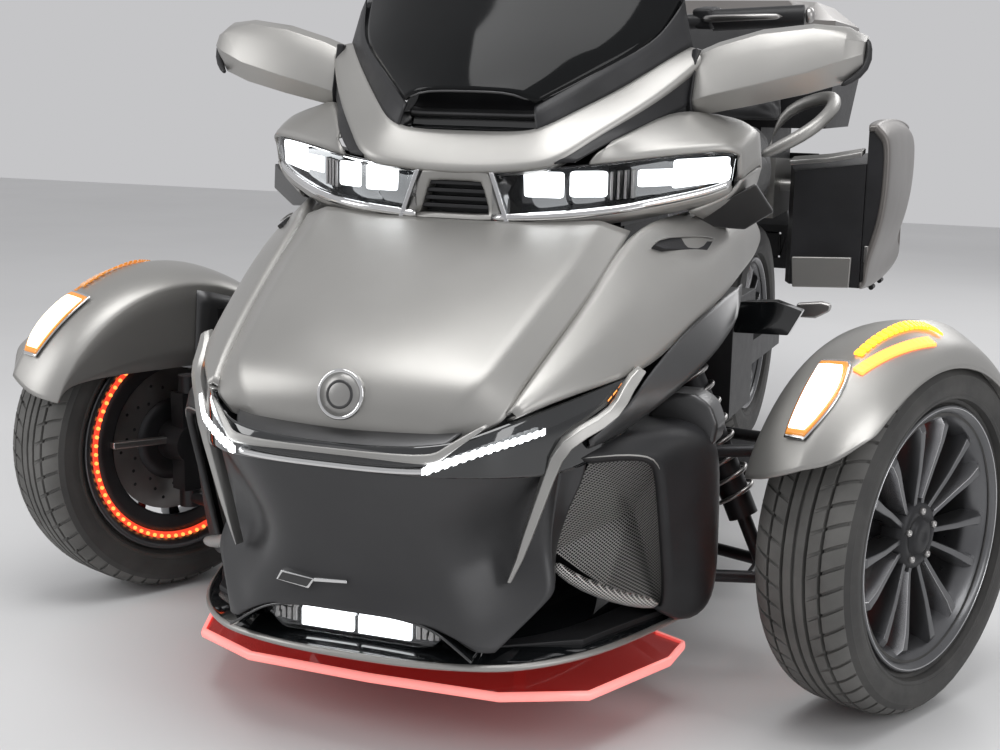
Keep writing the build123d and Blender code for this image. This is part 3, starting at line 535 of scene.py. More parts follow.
lit_strip("nose_red_marks", [(322, -396, 516), (330, -376, 530), (334, -366, 540)], (1.6, 1.2), 3, orange_led)

# Lower nose: half rows from the centre out; the last rows follow the arch over the fog bar
nose_rows = [spread(row) for row in (
    [(0, -607, 438), (70, -606, 438), (128, -602, 438), (178, -572, 440), (214, -538, 444), (240, -500, 448),
     (278, -462, 452)],
    [(0, -600, 420), (68, -599, 420), (126, -594, 420), (166, -568, 420), (198, -536, 420), (226, -494, 420),
     (270, -452, 424)],
    [(0, -582, 376), (64, -581, 376), (114, -576, 376), (148, -552, 376), (174, -520, 376), (204, -480, 376),
     (262, -440, 380)],
    [(0, -562, 330), (62, -561, 330), (106, -556, 330), (134, -534, 330), (154, -504, 330), (186, -462, 330),
     (256, -430, 334)],
    [(0, -552, 290), (64, -551, 290), (108, -546, 290), (136, -526, 290), (158, -494, 290), (192, -452, 292),
     (256, -432, 296)],
    [(0, -552, 258), (68, -551, 256), (118, -545, 252), (150, -526, 250), (180, -496, 252), (214, -468, 252),
     (272, -440, 252)],
    [(0, -560, 234), (72, -557, 232), (128, -549, 226), (166, -532, 216), (196, -500, 222), (226, -474, 230),
     (262, -450, 235)],
    [(0, -563, 222), (62, -560, 222), (124, -550, 216), (154, -542, 200), (182, -524, 194), (210, -502, 198),
     (236, -480, 205)],
    [(0, -562, 219), (60, -559, 219), (122, -549, 213), (152, -541, 196), (174, -537, 181), (190, -532, 172),
     (206, -516, 172)])]
skin("lower_nose_skin", nose_rows, soft_black, 5, hard_rows=(0, 8), stands_for=("lower_nose",))
arch_half = [(0, 219), (60, 219), (122, 213), (152, 196), (178, 178), (190, 170)]
skin("fog_arch", [spread([(x * share, y, z - drop) for x, z in arch_half])
                  for share, y, drop in ((1, -556, 1), (0.98, -540, 3), (0.96, -505, 4), (0.94, -474, 5))],
     gloss, 3, hard_rows=(0, 1, 3))

# Blank nose plate in its frame, and the thin bar beside it
plate_ring = [(-108, 250), (-56, 243), (-46, 259), (-100, 265)]
block("nose_plate_frame", upright(plate_ring, -566, -545), chrome, 1.5)
plate_face = [(-78 + (x + 78) * 0.88, 254 + (z - 254) * 0.74) for x, z in plate_ring]
block("nose_plate_face", upright(plate_face, -567.5, -560), dark_satin, 0.8)
block("nose_plate_bar", upright([(-50, 254), (4, 258), (2, 263), (-48, 260)], -565, -545), chrome, 1.2)

# Fog bar: hexagonal lens over two bright blocks and faceted ends
fog_ring = [(-138, 187), (-122, 206), (122, 206), (138, 187), (118, 169), (-118, 169)]
block("fog_bar", upright(fog_ring, -522, -486), gloss, 2, stands_for=("fog_lamp",))
block("fog_lens", [[(x * s, y, 187 + (z - 187) * s) for x, z in fog_ring]
                   for y, s in ((-530, 1), (-540, 0.88))], glass, 0.8)
boxes("fog_lights", [(-86, -4, -528, -520, 174, 200), (4, 86, -528, -520, 174, 200)], white_led, 2)
boxes("fog_facets", [(x, x + 7, -527, -520, 178 + k, 199 - k) for k, x in enumerate((94, 103, 112, 121))],
      bare, 1, both=True)

# Blades beside the nose: (x, y, z, half width), from the tip up
blade_table = [(216, -488, 266, 3), (229, -486, 300, 5.5), (240, -486, 336, 8), (266, -484, 418, 10),
               (276, -481, 448, 11), (288, -470, 468, 11), (305, -449, 482, 10.5), (322, -426, 493, 10.5),
               (334, -406, 505, 10.5), (340, -390, 518, 10.5), (344, -372, 534, 10.5), (349, -358, 546, 10),
               (355, -346, 556, 8)]
blade_rings = []
for i, (x, y, z, half) in enumerate(blade_table):
    ahead = Vector(blade_table[min(i + 1, len(blade_table) - 1)][:3]) - Vector(blade_table[max(i - 1, 0)][:3])
    across = ahead.cross(Vector((0, -1, 0))).normalized() * half
    a, b = Vector((x, y, z)) - across, Vector((x, y, z)) + across
    blade_rings.append([tuple(a + Vector((0, 2, 0))), tuple((a * 2 + b) / 3 + Vector((0, -5, 0))), tuple(b),
                        tuple(b + Vector((-2, 13, 0))), tuple(a + Vector((-2, 13, 0)))])
block("blade_skins", blade_rings, silver, 1.5, both=True, stands_for=("nose_blades",))

# Air intake pods: one section a row, from the front back
pod_rings = [
    (-343, 296, 254, 275, 390, 172, 440, 20, 0.867, -0.361),
    (-318, 291, 252, 255, 408, 160, 454, 28, 0.84, -0.31),
    (-290, 286, 250, 235, 426, 152, 464, 36, 0.80, -0.25),
    (-250, 283, 256, 220, 440, 148, 468, 42, 0.64, -0.17),
    (-212, 280, 262, 206, 446, 150, 466, 44, 0.50, -0.10),
    (-172, 276, 270, 206, 428, 170, 458, 40, 0.20, 0.0)]


def pod_ring(section, d=0.0, back=0.0, lip=0.0):
    """A section gives y at its outer top, x in at the top and below, z in below, x out, z low and top,
    the chamfer, and how far y changes per mm of x and of z. It can be set in by d, moved back, or tilted."""
    y, x_in, x_low, z_in, x_out, z0, z1, c, per_x, per_z = section
    points = [(x_low + d, z_in + d), ((x_low + x_out) / 2, (z_in + z0) / 2 + d - 4), (x_out - c, z0 + d),
              (x_out - d - c * 0.3, z0 + c * 0.35), (x_out - d, z0 + c + 14), (x_out - d, (z0 + z1) / 2),
              (x_out - d, z1 - c - 10), (x_out - d - c * 0.3, z1 - d - c * 0.35), (x_out - c - 4, z1 - d - 1),
              ((x_in + x_out) / 2, z1 - d + 2), (x_in + d, z1 - d)]
    return [(x, y + back + per_x * (x - x_out) + per_z * (z - z1) + lip * (z - z0) / (z1 - z0), z)
            for x, z in points]


pod_rows = [pod_ring(pod_rings[1], d=9), pod_ring(pod_rings[0], d=8, back=4, lip=-6),
            pod_ring(pod_rings[0], lip=-10)] + [pod_ring(r) for r in pod_rings[1:]]
for row in pod_rows:
    row[:2] = shifted(row[:2], y=90)
skin("pod_skins", pod_rows, plastic, 3, hard_rows=(1, 2), both=True, stands_for=("intake_pods",))
# A thin silver line along the pods' rolled lip: a painted highlight where the lip catches the light from
# above.
tube("pod_lip_highlight_lines", shifted(pod_rows[2][:5:-1], 0, -3, 1), [0.8, 1.6, 1.8, 1.6, 0.8], silver, both=True,
     sides=6)
shoulder = [(330, 440), (340, 476), (358, 496), (380, 506), (408, 506), (432, 492), (445, 462), (440, 430)]
block("pod_shoulders", [[(x - inward, y, z) for x, z in shoulder] for inward, y in ((0, -236), (1, -170))],
      dark_satin, 8, both=True)
skin("pod_inner_walls", [
    [(279, -460, 450), (266, -442, 400), (258, -434, 350), (256, -432, 300), (268, -438, 258)],
    [(290, -432, 443), (281, -418, 402), (266, -411, 357), (257, -405, 307), (257, -405, 264)],
    [(302, -420, 436), (296, -410, 404), (275, -404, 364), (258, -394, 315), (247, -388, 271)]], soft_black,
     3, both=True)
mesh_ring = pod_ring(pod_rings[0], d=6, back=20)
mesh_ring[0], mesh_ring[1] = (247, -385, 286), (312, -335, 225)
mesh_ring.append((274, -400, 363))
piece("pod_mesh", [(330, mesh_ring[2][1] - 22, 330)] + mesh_ring,
      [[0, k + 1, (k + 1) % len(mesh_ring) + 1] for k in range(len(mesh_ring))], weave,
      stands_for=("intake_meshes",), smooth=False, both=True)
# The rolled band at the foot of the mesh takes the lighter copy of the mesh: painted light, the same mesh lit
# below the lip's shadow.
tube("pod_mesh_bars", [(252, -404, 275), (273, -388, 251), (305, -362, 229), (345, -330, 210),
                       (386, -302, 201)], [8, 10, 11, 11, 9], lit_weave_copy, both=True)

# Chin tray with its lip, and the lit edge of the splitter
chin_half = [(0, -558), (100, -555), (190, -532), (238, -508), (297, -446), (346, -354), (403, -165)]
PLAN_REACH = 420


def plan_rows(half, steps):
    """Rows round a plan outline: each step is (inward mm, z)."""
    return [spread([(x * (1 - inward / PLAN_REACH), y + inward, z) for x, y in half]) for inward, z in steps]


skin("chin_skin", plan_rows(chin_half, ((150, 170), (60, 168), (14, 158), (2, 153), (0, 149), (3, 143),
                                        (60, 141), (150, 141))), gloss, 3,
     hard_rows=(3, 5), flip=True, crisp=0.6, stands_for=("chin_tray",))
skin("chin_lip", plan_rows(chin_half, ((2, 155), (-2, 152.5), (-3, 148), (0, 145))), satin, 2, flip=True)
block("chin_floor", [[(-392, -168, z), (-300, -400, z), (-190, -480, z), (190, -480, z), (300, -400, z),
                      (392, -168, z)] for z in (144, 166)], plastic, 2)
splitter_half = [(0, -486), (202, -478), (318, -420), (390, -240), (392, -160), (336, -130)]
skin("splitter_edge", plan_rows(splitter_half, ((4, 96.5), (-1.5, 96.5), (-3, 90), (-1.5, 84), (4, 84))),
     pink_edge, 0, levels=0)
dress("splitter", acrylic, 0)

# Headlamps: lens, housing, light blocks, reflector bars and the chrome lip
lens_low = [(64, -184, 748), (142, -184, 754), (205, -168, 760), (262, -134, 769), (320, -84, 782),
            (372, -34, 795), (398, -8, 808)]
lens_top = [(64, -184, 812), (142, -182, 823), (205, -154, 829), (268, -112, 838), (336, -72, 848),
            (384, -42, 854), (404, -14, 848)]
skin("headlamp_lenses", [lens_low, shifted(between(lens_low, lens_top, 0.35), y=-4),
                         shifted(between(lens_low, lens_top, 0.75), y=-4), lens_top], glass, 2,
     hard_rows=(0, 3), both=True, flip=True, stands_for=("headlamps",))
skin("lamp_housings", [shifted(lens_low, 0, 2, 1), shifted(lens_low, y=42), shifted(lens_top, y=42),
                       shifted(lens_top, 0, 2, -1)], gloss, 2, hard_rows=(1, 2), levels=1, both=True,
     flip=True)
skin("lamp_end_walls", [[(404, -14, 848), (398, -8, 808)], [(408, 30, 846), (402, 34, 806)]], gloss, 2,
     levels=0, both=True)
for tag, ring in (("inner", ((107, -166, 778), (166, -158, 778), (166, -158, 818), (105, -166, 817))),
                  ("middle", ((177, -154, 780), (227, -130, 781), (227, -130, 821), (177, -154, 820))),
                  ("strip", ((270, -102, 797), (322, -60, 800), (324, -60, 826), (270, -102, 824))),
                  ("outer", ((316, -68, 795), (390, -14, 807), (392, -16, 846), (318, -70, 840)))):
    block(f"lamp_light_{tag}", [ring, shifted(ring, 3, 10)], white_led, 4, both=True)
boxes("lamp_ribs", [(x, x + 4, y, y + 16, 778 + 0.12 * (x - 246), 822 + 0.15 * (x - 246))
                    for x, y in ((234, -124), (243, -118), (252, -111), (261, -104))], bare, 0.8, both=True)
skin("lamp_chrome_lips", [shifted(lens_low, 0, *by) for by in ((-3, -9), (-8, -3), (-2, 2))], chrome, 2,
     both=True, flip=True)
skin("lamp_chins", [shifted(lens_low, 0, *by) for by in ((16, -22), (2, -16), (-2, -8))], satin, 3,
     hard_rows=(1,), both=True, flip=True)

# Grille between the lamps
dress("lamp_backs", plastic, 1.5)
grille_rings = []
for top, low, z_top, z_low, y in ((60, 88, 816, 738, -172), (56, 82, 815, 740, -188),
                                  (44, 60, 800, 748, -184), (42, 58, 798, 750, -158)):
    grille_rings.append([(-low, y, z_low), (low, y, z_low), (top, y, z_top), (-top, y, z_top),
                         (-low, y, z_low)])
skin("grille_surround", grille_rings, satin, 2, hard_rows=range(4), hard_cols=range(5), crisp=0.85,
     stands_for=("centre_grille",))
boxes("grille_slats", [(-62 + 0.3 * (z - 750), 62 - 0.3 * (z - 750), -180, -156, z, z + 6)
                       for z in (757, 769, 781, 793)] + [(-56, 56, -156, -150, 746, 802)], plastic, 1)
block("grille_corner_bars", [[(a - 4, -192, z), (a + 4, -192, z), (a + 4, -178, z), (a - 4, -178, z)]
                             for a, z in ((90, 738), (62, 815))], bright_alloy, 1.5, both=True)

# Cowl over the lamps, from the lamp edge up to the slot, and its arms
cowl_low = [(0, -188, 816), (60, -187, 818), (120, -185, 824), (162, -181, 831), (200, -134, 867),
            (250, -72, 908), (290, -12, 946), (318, 36, 982), (334, 70, 1004)]
cowl_top = [(0, -136, 873), (56, -138, 873), (110, -142, 875), (136, -136, 888), (172, -96, 912),
            (214, -42, 940), (248, -2, 968), (278, 36, 994), (302, 72, 1012)]
cowl_rows = [shifted(cowl_low, 0, 12, -7), cowl_low, shifted(between(cowl_low, cowl_top, 0.5), 0, -3, 1),
             cowl_top, shifted(cowl_top, 0, 22, -6)]
skin("cowl_skin", [spread(r) for r in cowl_rows], satin, 4, hard_rows=(1, 3), flip=True, crisp=0.95,
     stands_for=("cowl",))
slot_half = [(0, 0, 0), (60, 0, 0), (104, -2, 0), (118, -6, 2)]


def slot_row(y, z, share=1.0):
    return spread([(x * share, y + dy, z + dz) for x, dy, dz in slot_half])


skin("cowl_slot", [slot_row(-134, 871), slot_row(-112, 877), slot_row(-84, 878), slot_row(-80, 890),
                   slot_row(-84, 898, 0.95)], gloss, 3, hard_rows=(2,), flip=True)
skin("cowl_slot_rim", [slot_row(-84, 896, 0.94), slot_row(-100, 898, 0.95), slot_row(-103, 902, 0.95),
                       slot_row(-96, 907, 0.93)], dark_satin, 3, hard_rows=(1, 2), flip=True, crisp=0.6)
skin("cowl_recess", [slot_row(-97, 906, 0.93), slot_row(-78, 918, 0.92), slot_row(-72, 944, 0.9)], plastic, 3,
     flip=True)
skin("slot_cheeks", [[(112, -140, 874), (136, -134, 888), (140, -120, 898)],
                     [(116, -124, 880), (132, -114, 892), (134, -108, 900)],
                     [(116, -92, 884), (122, -88, 894), (120, -92, 904)]], plastic, 3, both=True, flip=True)
wedge_low = [(190, -166, 834), (222, -138, 857), (256, -76, 884), (290, -8, 908), (306, 18, 918),
             (320, 44, 928)]
wedge_top = [(160, -178, 831), (200, -130, 867), (250, -68, 908), (290, -8, 946), (316, 38, 980),
             (330, 70, 1002)]
skin("cowl_wedges", [wedge_low, shifted(between(wedge_low, wedge_top, 0.5), y=3), wedge_top], plastic, 3,
     hard_rows=(0, 2), both=True, flip=True)
trim_low = [(116, -140, 877), (138, -135, 889), (173, -94, 914), (215, -40, 942), (249, 0, 970),
            (279, 38, 996), (304, 76, 1014)]
trim_top = [(108, -127, 915), (124, -114, 926), (160, -76, 954), (198, -40, 982), (236, -2, 1006),
            (264, 34, 1032), (284, 90, 1090)]
skin("screen_trims", [trim_low, shifted(between(trim_low, trim_top, 0.72), y=-4), trim_top], plastic, 3,
     hard_rows=(1,), both=True, flip=True, crisp=0.6)

# Ears above the lamps: front edge, crest and back, from the inner end out
ear_front = [(206, -150, 833), (262, -114, 841), (318, -82, 849), (366, -54, 856), (398, -34, 859),
             (409, -14, 850), (408, -2, 808)]
ear_crest = [(226, -136, 856), (260, -72, 884), (306, 14, 916), (352, 48, 904), (390, 70, 896),
             (416, 64, 884), (426, 58, 832)]
ear_back = [(236, -110, 856), (272, -40, 884), (318, 60, 912), (360, 110, 902), (380, 140, 896),
            (404, 150, 878), (410, 150, 820)]
ear_bulge = shifted(between(ear_front, ear_crest, 0.5), 0, -5, 4)
skin("ear_skins", [shifted(ear_front, 0, 16, -3), ear_front, ear_bulge, ear_crest, ear_back], satin, 4,
     hard_rows=(1, 3), hard_cols=(5,), both=True, flip=True, crisp=0.75, stands_for=("lamp_brows",))
skin("ear_outer_cheeks", [[(408, -2, 809), (398, -8, 792), (380, -18, 778), (340, -52, 762)],
                          [(426, 58, 832), (416, 48, 798), (398, 36, 768), (356, 0, 744)],
                          [(409, 150, 822), (402, 140, 782), (384, 120, 752), (360, 100, 738)]], satin, 4,
     both=True, flip=True)

# Screen: half rows from the centre out
screen_rows = [spread(row) for row in (
    [(0, -147, 938), (42, -147, 938), (82, -144, 936), (109, -128, 920)],
    [(0, -133, 960), (62, -128, 959), (114, -112, 956), (150, -88, 948)],
    [(0, -112, 986), (76, -104, 985), (140, -82, 981), (188, -50, 974)],
    [(0, -86, 1016), (94, -76, 1015), (176, -46, 1010), (232, -6, 1002)],
    [(0, -52, 1054), (108, -40, 1052), (202, -6, 1045), (264, 36, 1032)],
    [(0, 2, 1112), (115, 14, 1110), (215, 50, 1104), (285, 100, 1090)],
    [(0, 60, 1182), (116, 75, 1181), (219, 114, 1180), (292, 156, 1178)],
    [(0, 166, 1340), (106, 176, 1340), (200, 203, 1340), (266, 232, 1338)],
    [(0, 222, 1442), (86, 228, 1442), (161, 245, 1440), (214, 262, 1434)],
    [(0, 234, 1462), (70, 239, 1461), (132, 251, 1458), (176, 264, 1450)])]
skin("screen_skin", screen_rows, tint, 4, hard_rows=(0, 9), hard_cols=(0, 6), flip=True,
     stands_for=("screen",))
screen_edge = [(0, -149, 937), (42, -149, 937), (82, -146, 935), (109, -130, 919), (150, -90, 947),
               (188, -52, 973), (232, -8, 1001), (264, 34, 1031), (285, 98, 1089), (292, 154, 1177)]
tube("screen_edge_line", spread(screen_edge), 2.2, dark_satin, sides=8)

# Mirrors: each ring runs low edge, crease, top edge and back
mirror_rings = []
for x, yf, zl, zc, zt, yb in [(318, 28, 906, 930, 1010, 66), (350, 22, 911, 940, 1024, 92),
                              (420, 18, 926, 957, 1044, 112), (500, 26, 945, 978, 1054, 122),
                              (552, 44, 962, 998, 1050, 122), (578, 70, 980, 1008, 1036, 114)]:
    mirror_rings.append([(x, yf + 22, zl), (x, yf + 10, (zl + zc) / 2), (x, yf, zc),
                         (x, yf + 13, (zc + zt) / 2 + 6), (x, yf + 30, zt - 8), (x, yf + 50, zt),
                         (x, yb, zt - 8), (x, yb, zl + 8)])
block("mirror_shells", mirror_rings, satin, 7, both=True, stands_for=("mirrors",))
block("mirror_glasses", [shifted([(352, 0, 930), (500, 8, 956), (548, 8, 976), (540, 8, 1036), (490, 8, 1042),
                                  (360, 0, 1012)], y=y) for y in (112, 126)], mirror_glass, 1.5, both=True)
tube("mirror_outer_trims", [(548, 52, 958), (574, 76, 974), (586, 94, 1000), (580, 104, 1034)], [4, 7, 8, 5],
     plastic, both=True)
block("mirror_inner_trims", [[(308, 40, 902), (320, 26, 906), (322, 72, 908), (308, 72, 904)],
                             [(306, 34, 934), (319, 20, 932), (322, 76, 936), (308, 76, 936)],
                             [(310, 52, 1012), (321, 44, 1014), (324, 80, 1012), (312, 80, 1010)]], plastic,
      3, both=True)
tube("mirror_stalks", [(300, 90, 985), (322, 84, 968), (360, 80, 958)], [16, 18, 20], plastic, both=True)

# Side cases: outer lids on their own bodies, the tubs' light top edge, and the grab handles
def lid_ring(y, x1, z0, z1, d=0.0):
    """A section of a case's outer lid, from the hinge round its outside to the top edge."""
    return [(x, y, z) for x, z in (
        (441, z0 + d), (455, z0 + 4 + d), (x1 - 36 - d, z0 + 62), (x1 - 12 - d, z0 + 130),
        (x1 - d, z0 + 210), (x1 - d, z1 - 60), (x1 - 7 - d, z1 - 22 - d), (x1 - 32 - d, z1 - 3 - d),
        (462, z1 - d), (441, z1 - 3 - d))]


LID_SECTIONS = ((1260, 492, 500, 880, 12), (1252, 492, 500, 880, 10), (1250, 492, 500, 880, 3),
                (1262, 494, 498, 882), (1420, 494, 488, 892), (1700, 486, 486, 886), (1900, 480, 500, 872),
                (1952, 474, 516, 862, 3), (1960, 472, 520, 858, 14), (1960, 456, 600, 760, 14))
for tag, side in SIDES:
    on = dict(body=f"{tag}_pannier_lid")
    skin(f"{tag}_lid_skin", [[(side * x, y, z) for x, y, z in lid_ring(*section)]
                             for section in LID_SECTIONS], brown_grey, 3, hard_rows=(1, 2), flip=side < 0,
         crisp=0.5, stands_for=(f"{tag}_case_lid",), **on)
    block(f"{tag}_lid_inset", [[(side * x, y, z) for x, y, z in lid_ring(at, 492, 500, 880, 11)]
                               for at in (1254, 1264)], plastic, 3, **on)
    boxes(f"{tag}_lid_pegs", [(side * 452 - 5, side * 452 + 5, 1249, 1262, 560, 600)], bare, 2, **on)
    block(f"{tag}_tub_edge", [[(side * x, 1244, b), (side * x, 1244, b + 12), (side * x, 1300, b + 20),
                               (side * x, 1300, b + 6)] for x, b in ((262, 780), (352, 790), (430, 806))],
          silver, 3)
    tub_panel = [(side * x, z) for x, z in ((285, 494), (418, 500), (420, 572), (280, 566))]
    block(f"{tag}_tub_panel", upright(tub_panel, 1242, 1252), satin, 3)
tube("grab_handles", [(200, 1180, 800), (300, 1190, 850), (352, 1230, 900), (356, 1320, 940),
                      (300, 1420, 940), (190, 1450, 900), (170, 1440, 780)],
     [14, 17, 17, 17, 17, 16, 14], satin, both=True, levels=2, stands_for=("grab_rails",))
deflector_tip = [(398, 508), (402, 536), (450, 542), (470, 538), (468, 524), (440, 508)]
block("deflector_tips", upright(deflector_tip, 634, 652), bare, 5, both=True)

# Wheels: places run outward from the kingpin, forward, and up
def corner(side):
    def place(p):
        v, s, z = p
        x, y = side * v, -s
        return spot((side * KINGPIN_X + x * math.cos(PARKED) - y * math.sin(PARKED),
                     x * math.sin(PARKED) + y * math.cos(PARKED), z))
    return place


def rear_place(p):
    return spot((p[0] - WHEEL_OUT, WHEELBASE - p[1], p[2] + REAR_Z - AXLE_Z))


def round_axle(v, r, a):
    """At outward place v and radius r about the axle, at angle a forward of the top."""
    return (v, r * math.sin(a), AXLE_Z + r * math.cos(a))


def lathe(profile, turns=72):
    """A shape turned about the axle: the profile is (place from the wheel's middle, radius)."""
    return quads([[round_axle(WHEEL_OUT + v, r, a) for a in angles(turns)] for v, r in profile], wrap=True)


def hand(verts, faces, side):
    """Faces turn outward on the near side as built; the far side is a mirror image."""
    return (verts, faces) if side > 0 else (verts, [f[::-1] for f in faces])


def tyre(name, r, w, body, place, side, node):
    """A tyre of radius r and width w with ribs, grooves and slanted cuts in its tread."""
    half, bead = w / 2, w / 2 - 20
    wall = [(bead, 190), (bead, 208.5), (bead + 3, 212), (bead + 4, 216), (half - 5, 219), (half - 3, 223),
            (half - 3.5, 226), (half - 0.5, 234), (half, 242), (half - 2.5, r - 29), (half - 2.5, r - 26),
            (half - 8, r - 17), (half - 13, r - 12)]
    ribs = [(share * (half - 34), r - depth) for share, depth in
            ((1, 2.2), (0.94, 2.2), (0.93, 9), (0.84, 9), (0.83, 0.6), (0.45, 0.6), (0.44, 9), (0.34, 9),
             (0.33, 0))]
    out = wall + [(half - 20, r - 7), (half - 27, r - 4)] + ribs + [(3.2, r), (2.6, r - 6)]
    profile = out + [(-v, q) for v, q in reversed(out)]
    cuts, spans, cut_depth = 54, (0.0, 0.8, 0.83, 0.96), 4.5
    rows = []
    for v, q in profile:
        skew = 0.16 * max(0.0, (half - abs(v)) / half) * (1 if v > 0 else 0.82)
        on_tread = 0.36 * half < abs(v) < half - 8 and q > r - 14
        rows.append([])
        for k in range(cuts * len(spans)):
            angle = 2 * math.pi * ((k // 4 + spans[k % 4]) / cuts) + skew
            rows[-1].append(round_axle(v + WHEEL_OUT, q - cut_depth if on_tread and k % 4 >= 2 else q, angle))
    made = piece(name, *hand(*quads(rows, wrap=True), side), rubber, body=body, stands_for=(node,),
                 place=place)
    made.data.set_sharp_from_angle(angle=math.radians(28))
    made.data.materials.append(tread)
    first, last = len(wall) - 2, len(profile) - len(wall) + 1
    for poly in made.data.polygons:
        poly.material_index = 1 if first <= poly.index // len(rows[0]) < last else 0


def blade_mesh(angle, pair_lean, tip_r, face_w, dish):
    """One spoke of a pair: a narrow front edge, a deep body and a foot that joins the hub."""
    rings = []
    for q, off, lean, w_front, front, rear, depth in (
            (30, 9, 0.0, face_w - dish, 9, 12, 34), (58, 10, 0.12, face_w - dish + 2, 8, 13, 36),
            (110, 9, 0.6, face_w - dish * 0.45, 9, 16, 38), (150, 6, 0.9, face_w - dish * 0.15, 11, 20, 38),
            (175, 3, 1.0, face_w - 1, 14, 24, 36), (tip_r, 0, 1.0, face_w - 8, 17, 28, 28)):
        centre = math.radians(angle + pair_lean * lean)
        c, s = math.cos(centre), math.sin(centre)
        ring = []
        for across, v in ((-front / 2, w_front), (front / 2, w_front), (rear / 2, w_front - depth * 0.4),
                          (rear / 2, w_front - depth), (-rear / 2, w_front - depth),
                          (-rear / 2, w_front - depth * 0.4)):
            across += off if pair_lean > 0 else -off
            ring.append((WHEEL_OUT + v, q * s + across * c, AXLE_Z + q * c - across * s))
        rings.append(ring)
    return quads(rings, wrap=True, caps=True)


def wheel(tag, w, body, place, side, disc_v, node):
    """A rim for a tyre of width w: seven pairs of spokes, a hub, and the brake disc at disc_v."""
    def part(name, verts, faces, mat, **more):
        return piece(f"{tag}_{name}", *hand(verts, faces, side), mat, body=body, place=place, **more)

    bead = w / 2 - 20
    lip, nose = bead + 8, w / 2 - 36
    barrel = [(bead - 1, 207), (lip - 2, 208), (lip, 206), (lip, 203), (lip - 3, 199), (lip - 5, 196),
              (lip - 9, 194), (bead - 6, 188), (bead - 22, 176), (bead - 40, 172), (-bead + 30, 172),
              (-bead + 12, 178), (-bead - 2, 190), (-lip + 3, 196), (-lip, 204), (-lip + 2, 208),
              (-bead + 1, 207), (-bead, 196), (-bead + 12, 184), (bead - 12, 184), (bead, 196),
              (bead - 1, 207)]
    part("barrel", *lathe(barrel, 96), alloy, stands_for=(node,))
    # A thin bright ring round the rim's lip is a painted highlight; the lip's own finish is the dark alloy.
    edge = [(lip - 1, 204.5), (lip + 0.5, 204), (lip + 0.5, 203.1), (lip - 1.4, 202)]
    part("rim_highlight_line", *lathe(edge, 96), bright_alloy)
    # Bright are the sides with which the two spokes of a pair face each other
    verts, faces, bright = [], [], []
    for pair in range(7):
        for lean in (-10.5, 10.5):
            v, f = blade_mesh(pair * 360 / 7, lean, 187, bead - 2, 20)
            faces += [[i + len(verts) for i in q] for q in f]
            bright += [k % 6 in ((4, 5) if lean > 0 else (1, 2)) and 6 <= k < 30 for k in range(len(f))]
            verts += v
    spokes = part("spokes", verts, faces, alloy)
    spokes.data.materials.append(bright_alloy)
    for poly, lit in zip(spokes.data.polygons, bright):
        poly.material_index = 1 if lit else 0
    face_outward(spokes)
    rounded(spokes, 1.6)
    hub = [(nose - 34, 60), (nose - 12, 56), (nose - 3, 50), (nose, 44), (nose, 34), (nose - 4, 31),
           (nose - 4, 29), (nose + 3, 27), (nose + 6, 20), (nose + 6.5, 9), (nose + 5, 7), (nose + 5, 0.5)]
    part("hub", *lathe(hub, 48), steel)
    lugs = [(round_axle(WHEEL_OUT + nose - 2, 40, a), (1, 0, 0)) for a in angles(5)]
    studs(f"{tag}_lugs", lugs, 6, 7, bare, body=body, place=place)
    ring = [(disc_v - 3, 70), (disc_v - 3, 135), (disc_v + 3, 135), (disc_v + 3, 70), (disc_v - 3, 70)]
    part("brake_disc", *lathe(ring), bare).data.set_sharp_from_angle(angle=0.5)
    carrier = [(disc_v - 8, 30), (disc_v - 8, 58), (disc_v - 5, 78), (disc_v + 5, 78), (disc_v + 9, 58),
               (nose - 30, 56)]
    part("disc_carrier", *lathe(carrier, 48), steel)
    holes = [(round_axle(WHEEL_OUT + disc_v - 3.2, 88 + 13 * (k % 3), a), (-1, 0, 0))
             for k, a in enumerate(angles(30))]
    studs(f"{tag}_disc_holes", holes, 3.2, 0.3, plastic, body=body, place=place)


for tag, side in SIDES:
    tyre(f"{tag}_front_tyre", 281, 165, f"{tag}_wheel", corner(side), side, f"{tag}_tyre")
    wheel(f"{tag}_front", 165, f"{tag}_wheel", corner(side), side, -34, f"{tag}_rim")
tyre("rear_tyre_skin", 303, 225, "back_wheel", rear_place, 1, "rear_tyre")
wheel("rear", 225, "back_wheel", rear_place, 1, 70, "rear_rim")

# Mudguards: (outward place, radius) across the arch; the outer edge rises towards the front
FENDER_ACROSS = [(-5, 298), (6, 311), (34, 324), (70, 331), (104, 334), (138, 316), (164, 298)]
OUTER_EDGE = [(-68, 274), (-30, 268), (-8, 267), (6, 272), (20, 277), (34, 284), (43, 292), (49, 301),
              (54, 312)]
FRONT_EDGE = [(-5, 68), (40, 68), (90, 65), (142, 60), (160, 55), (177, 49)]
ARCH_BACK = -68


def level_at(table, v):
    """A straight-line reading of a table of (place, level), held level past its ends."""
    for (v0, r0), (v1, r1) in zip(table, table[1:]):
        if v <= v1:
            return r0 + (r1 - r0) * max(0.0, (v - v0) / (v1 - v0))
    return table[-1][1]


def fender_point(v, a, lift=0.0):
    """On the arch's outer face at outward place v and angle a forward of the top, in degrees."""
    edge = level_at(OUTER_EDGE, a)
    table = FENDER_ACROSS[:-1] + [(164, max(298.0, edge + 7)), (177, edge)]
    return round_axle(v, level_at(table, v) + lift, math.radians(a))


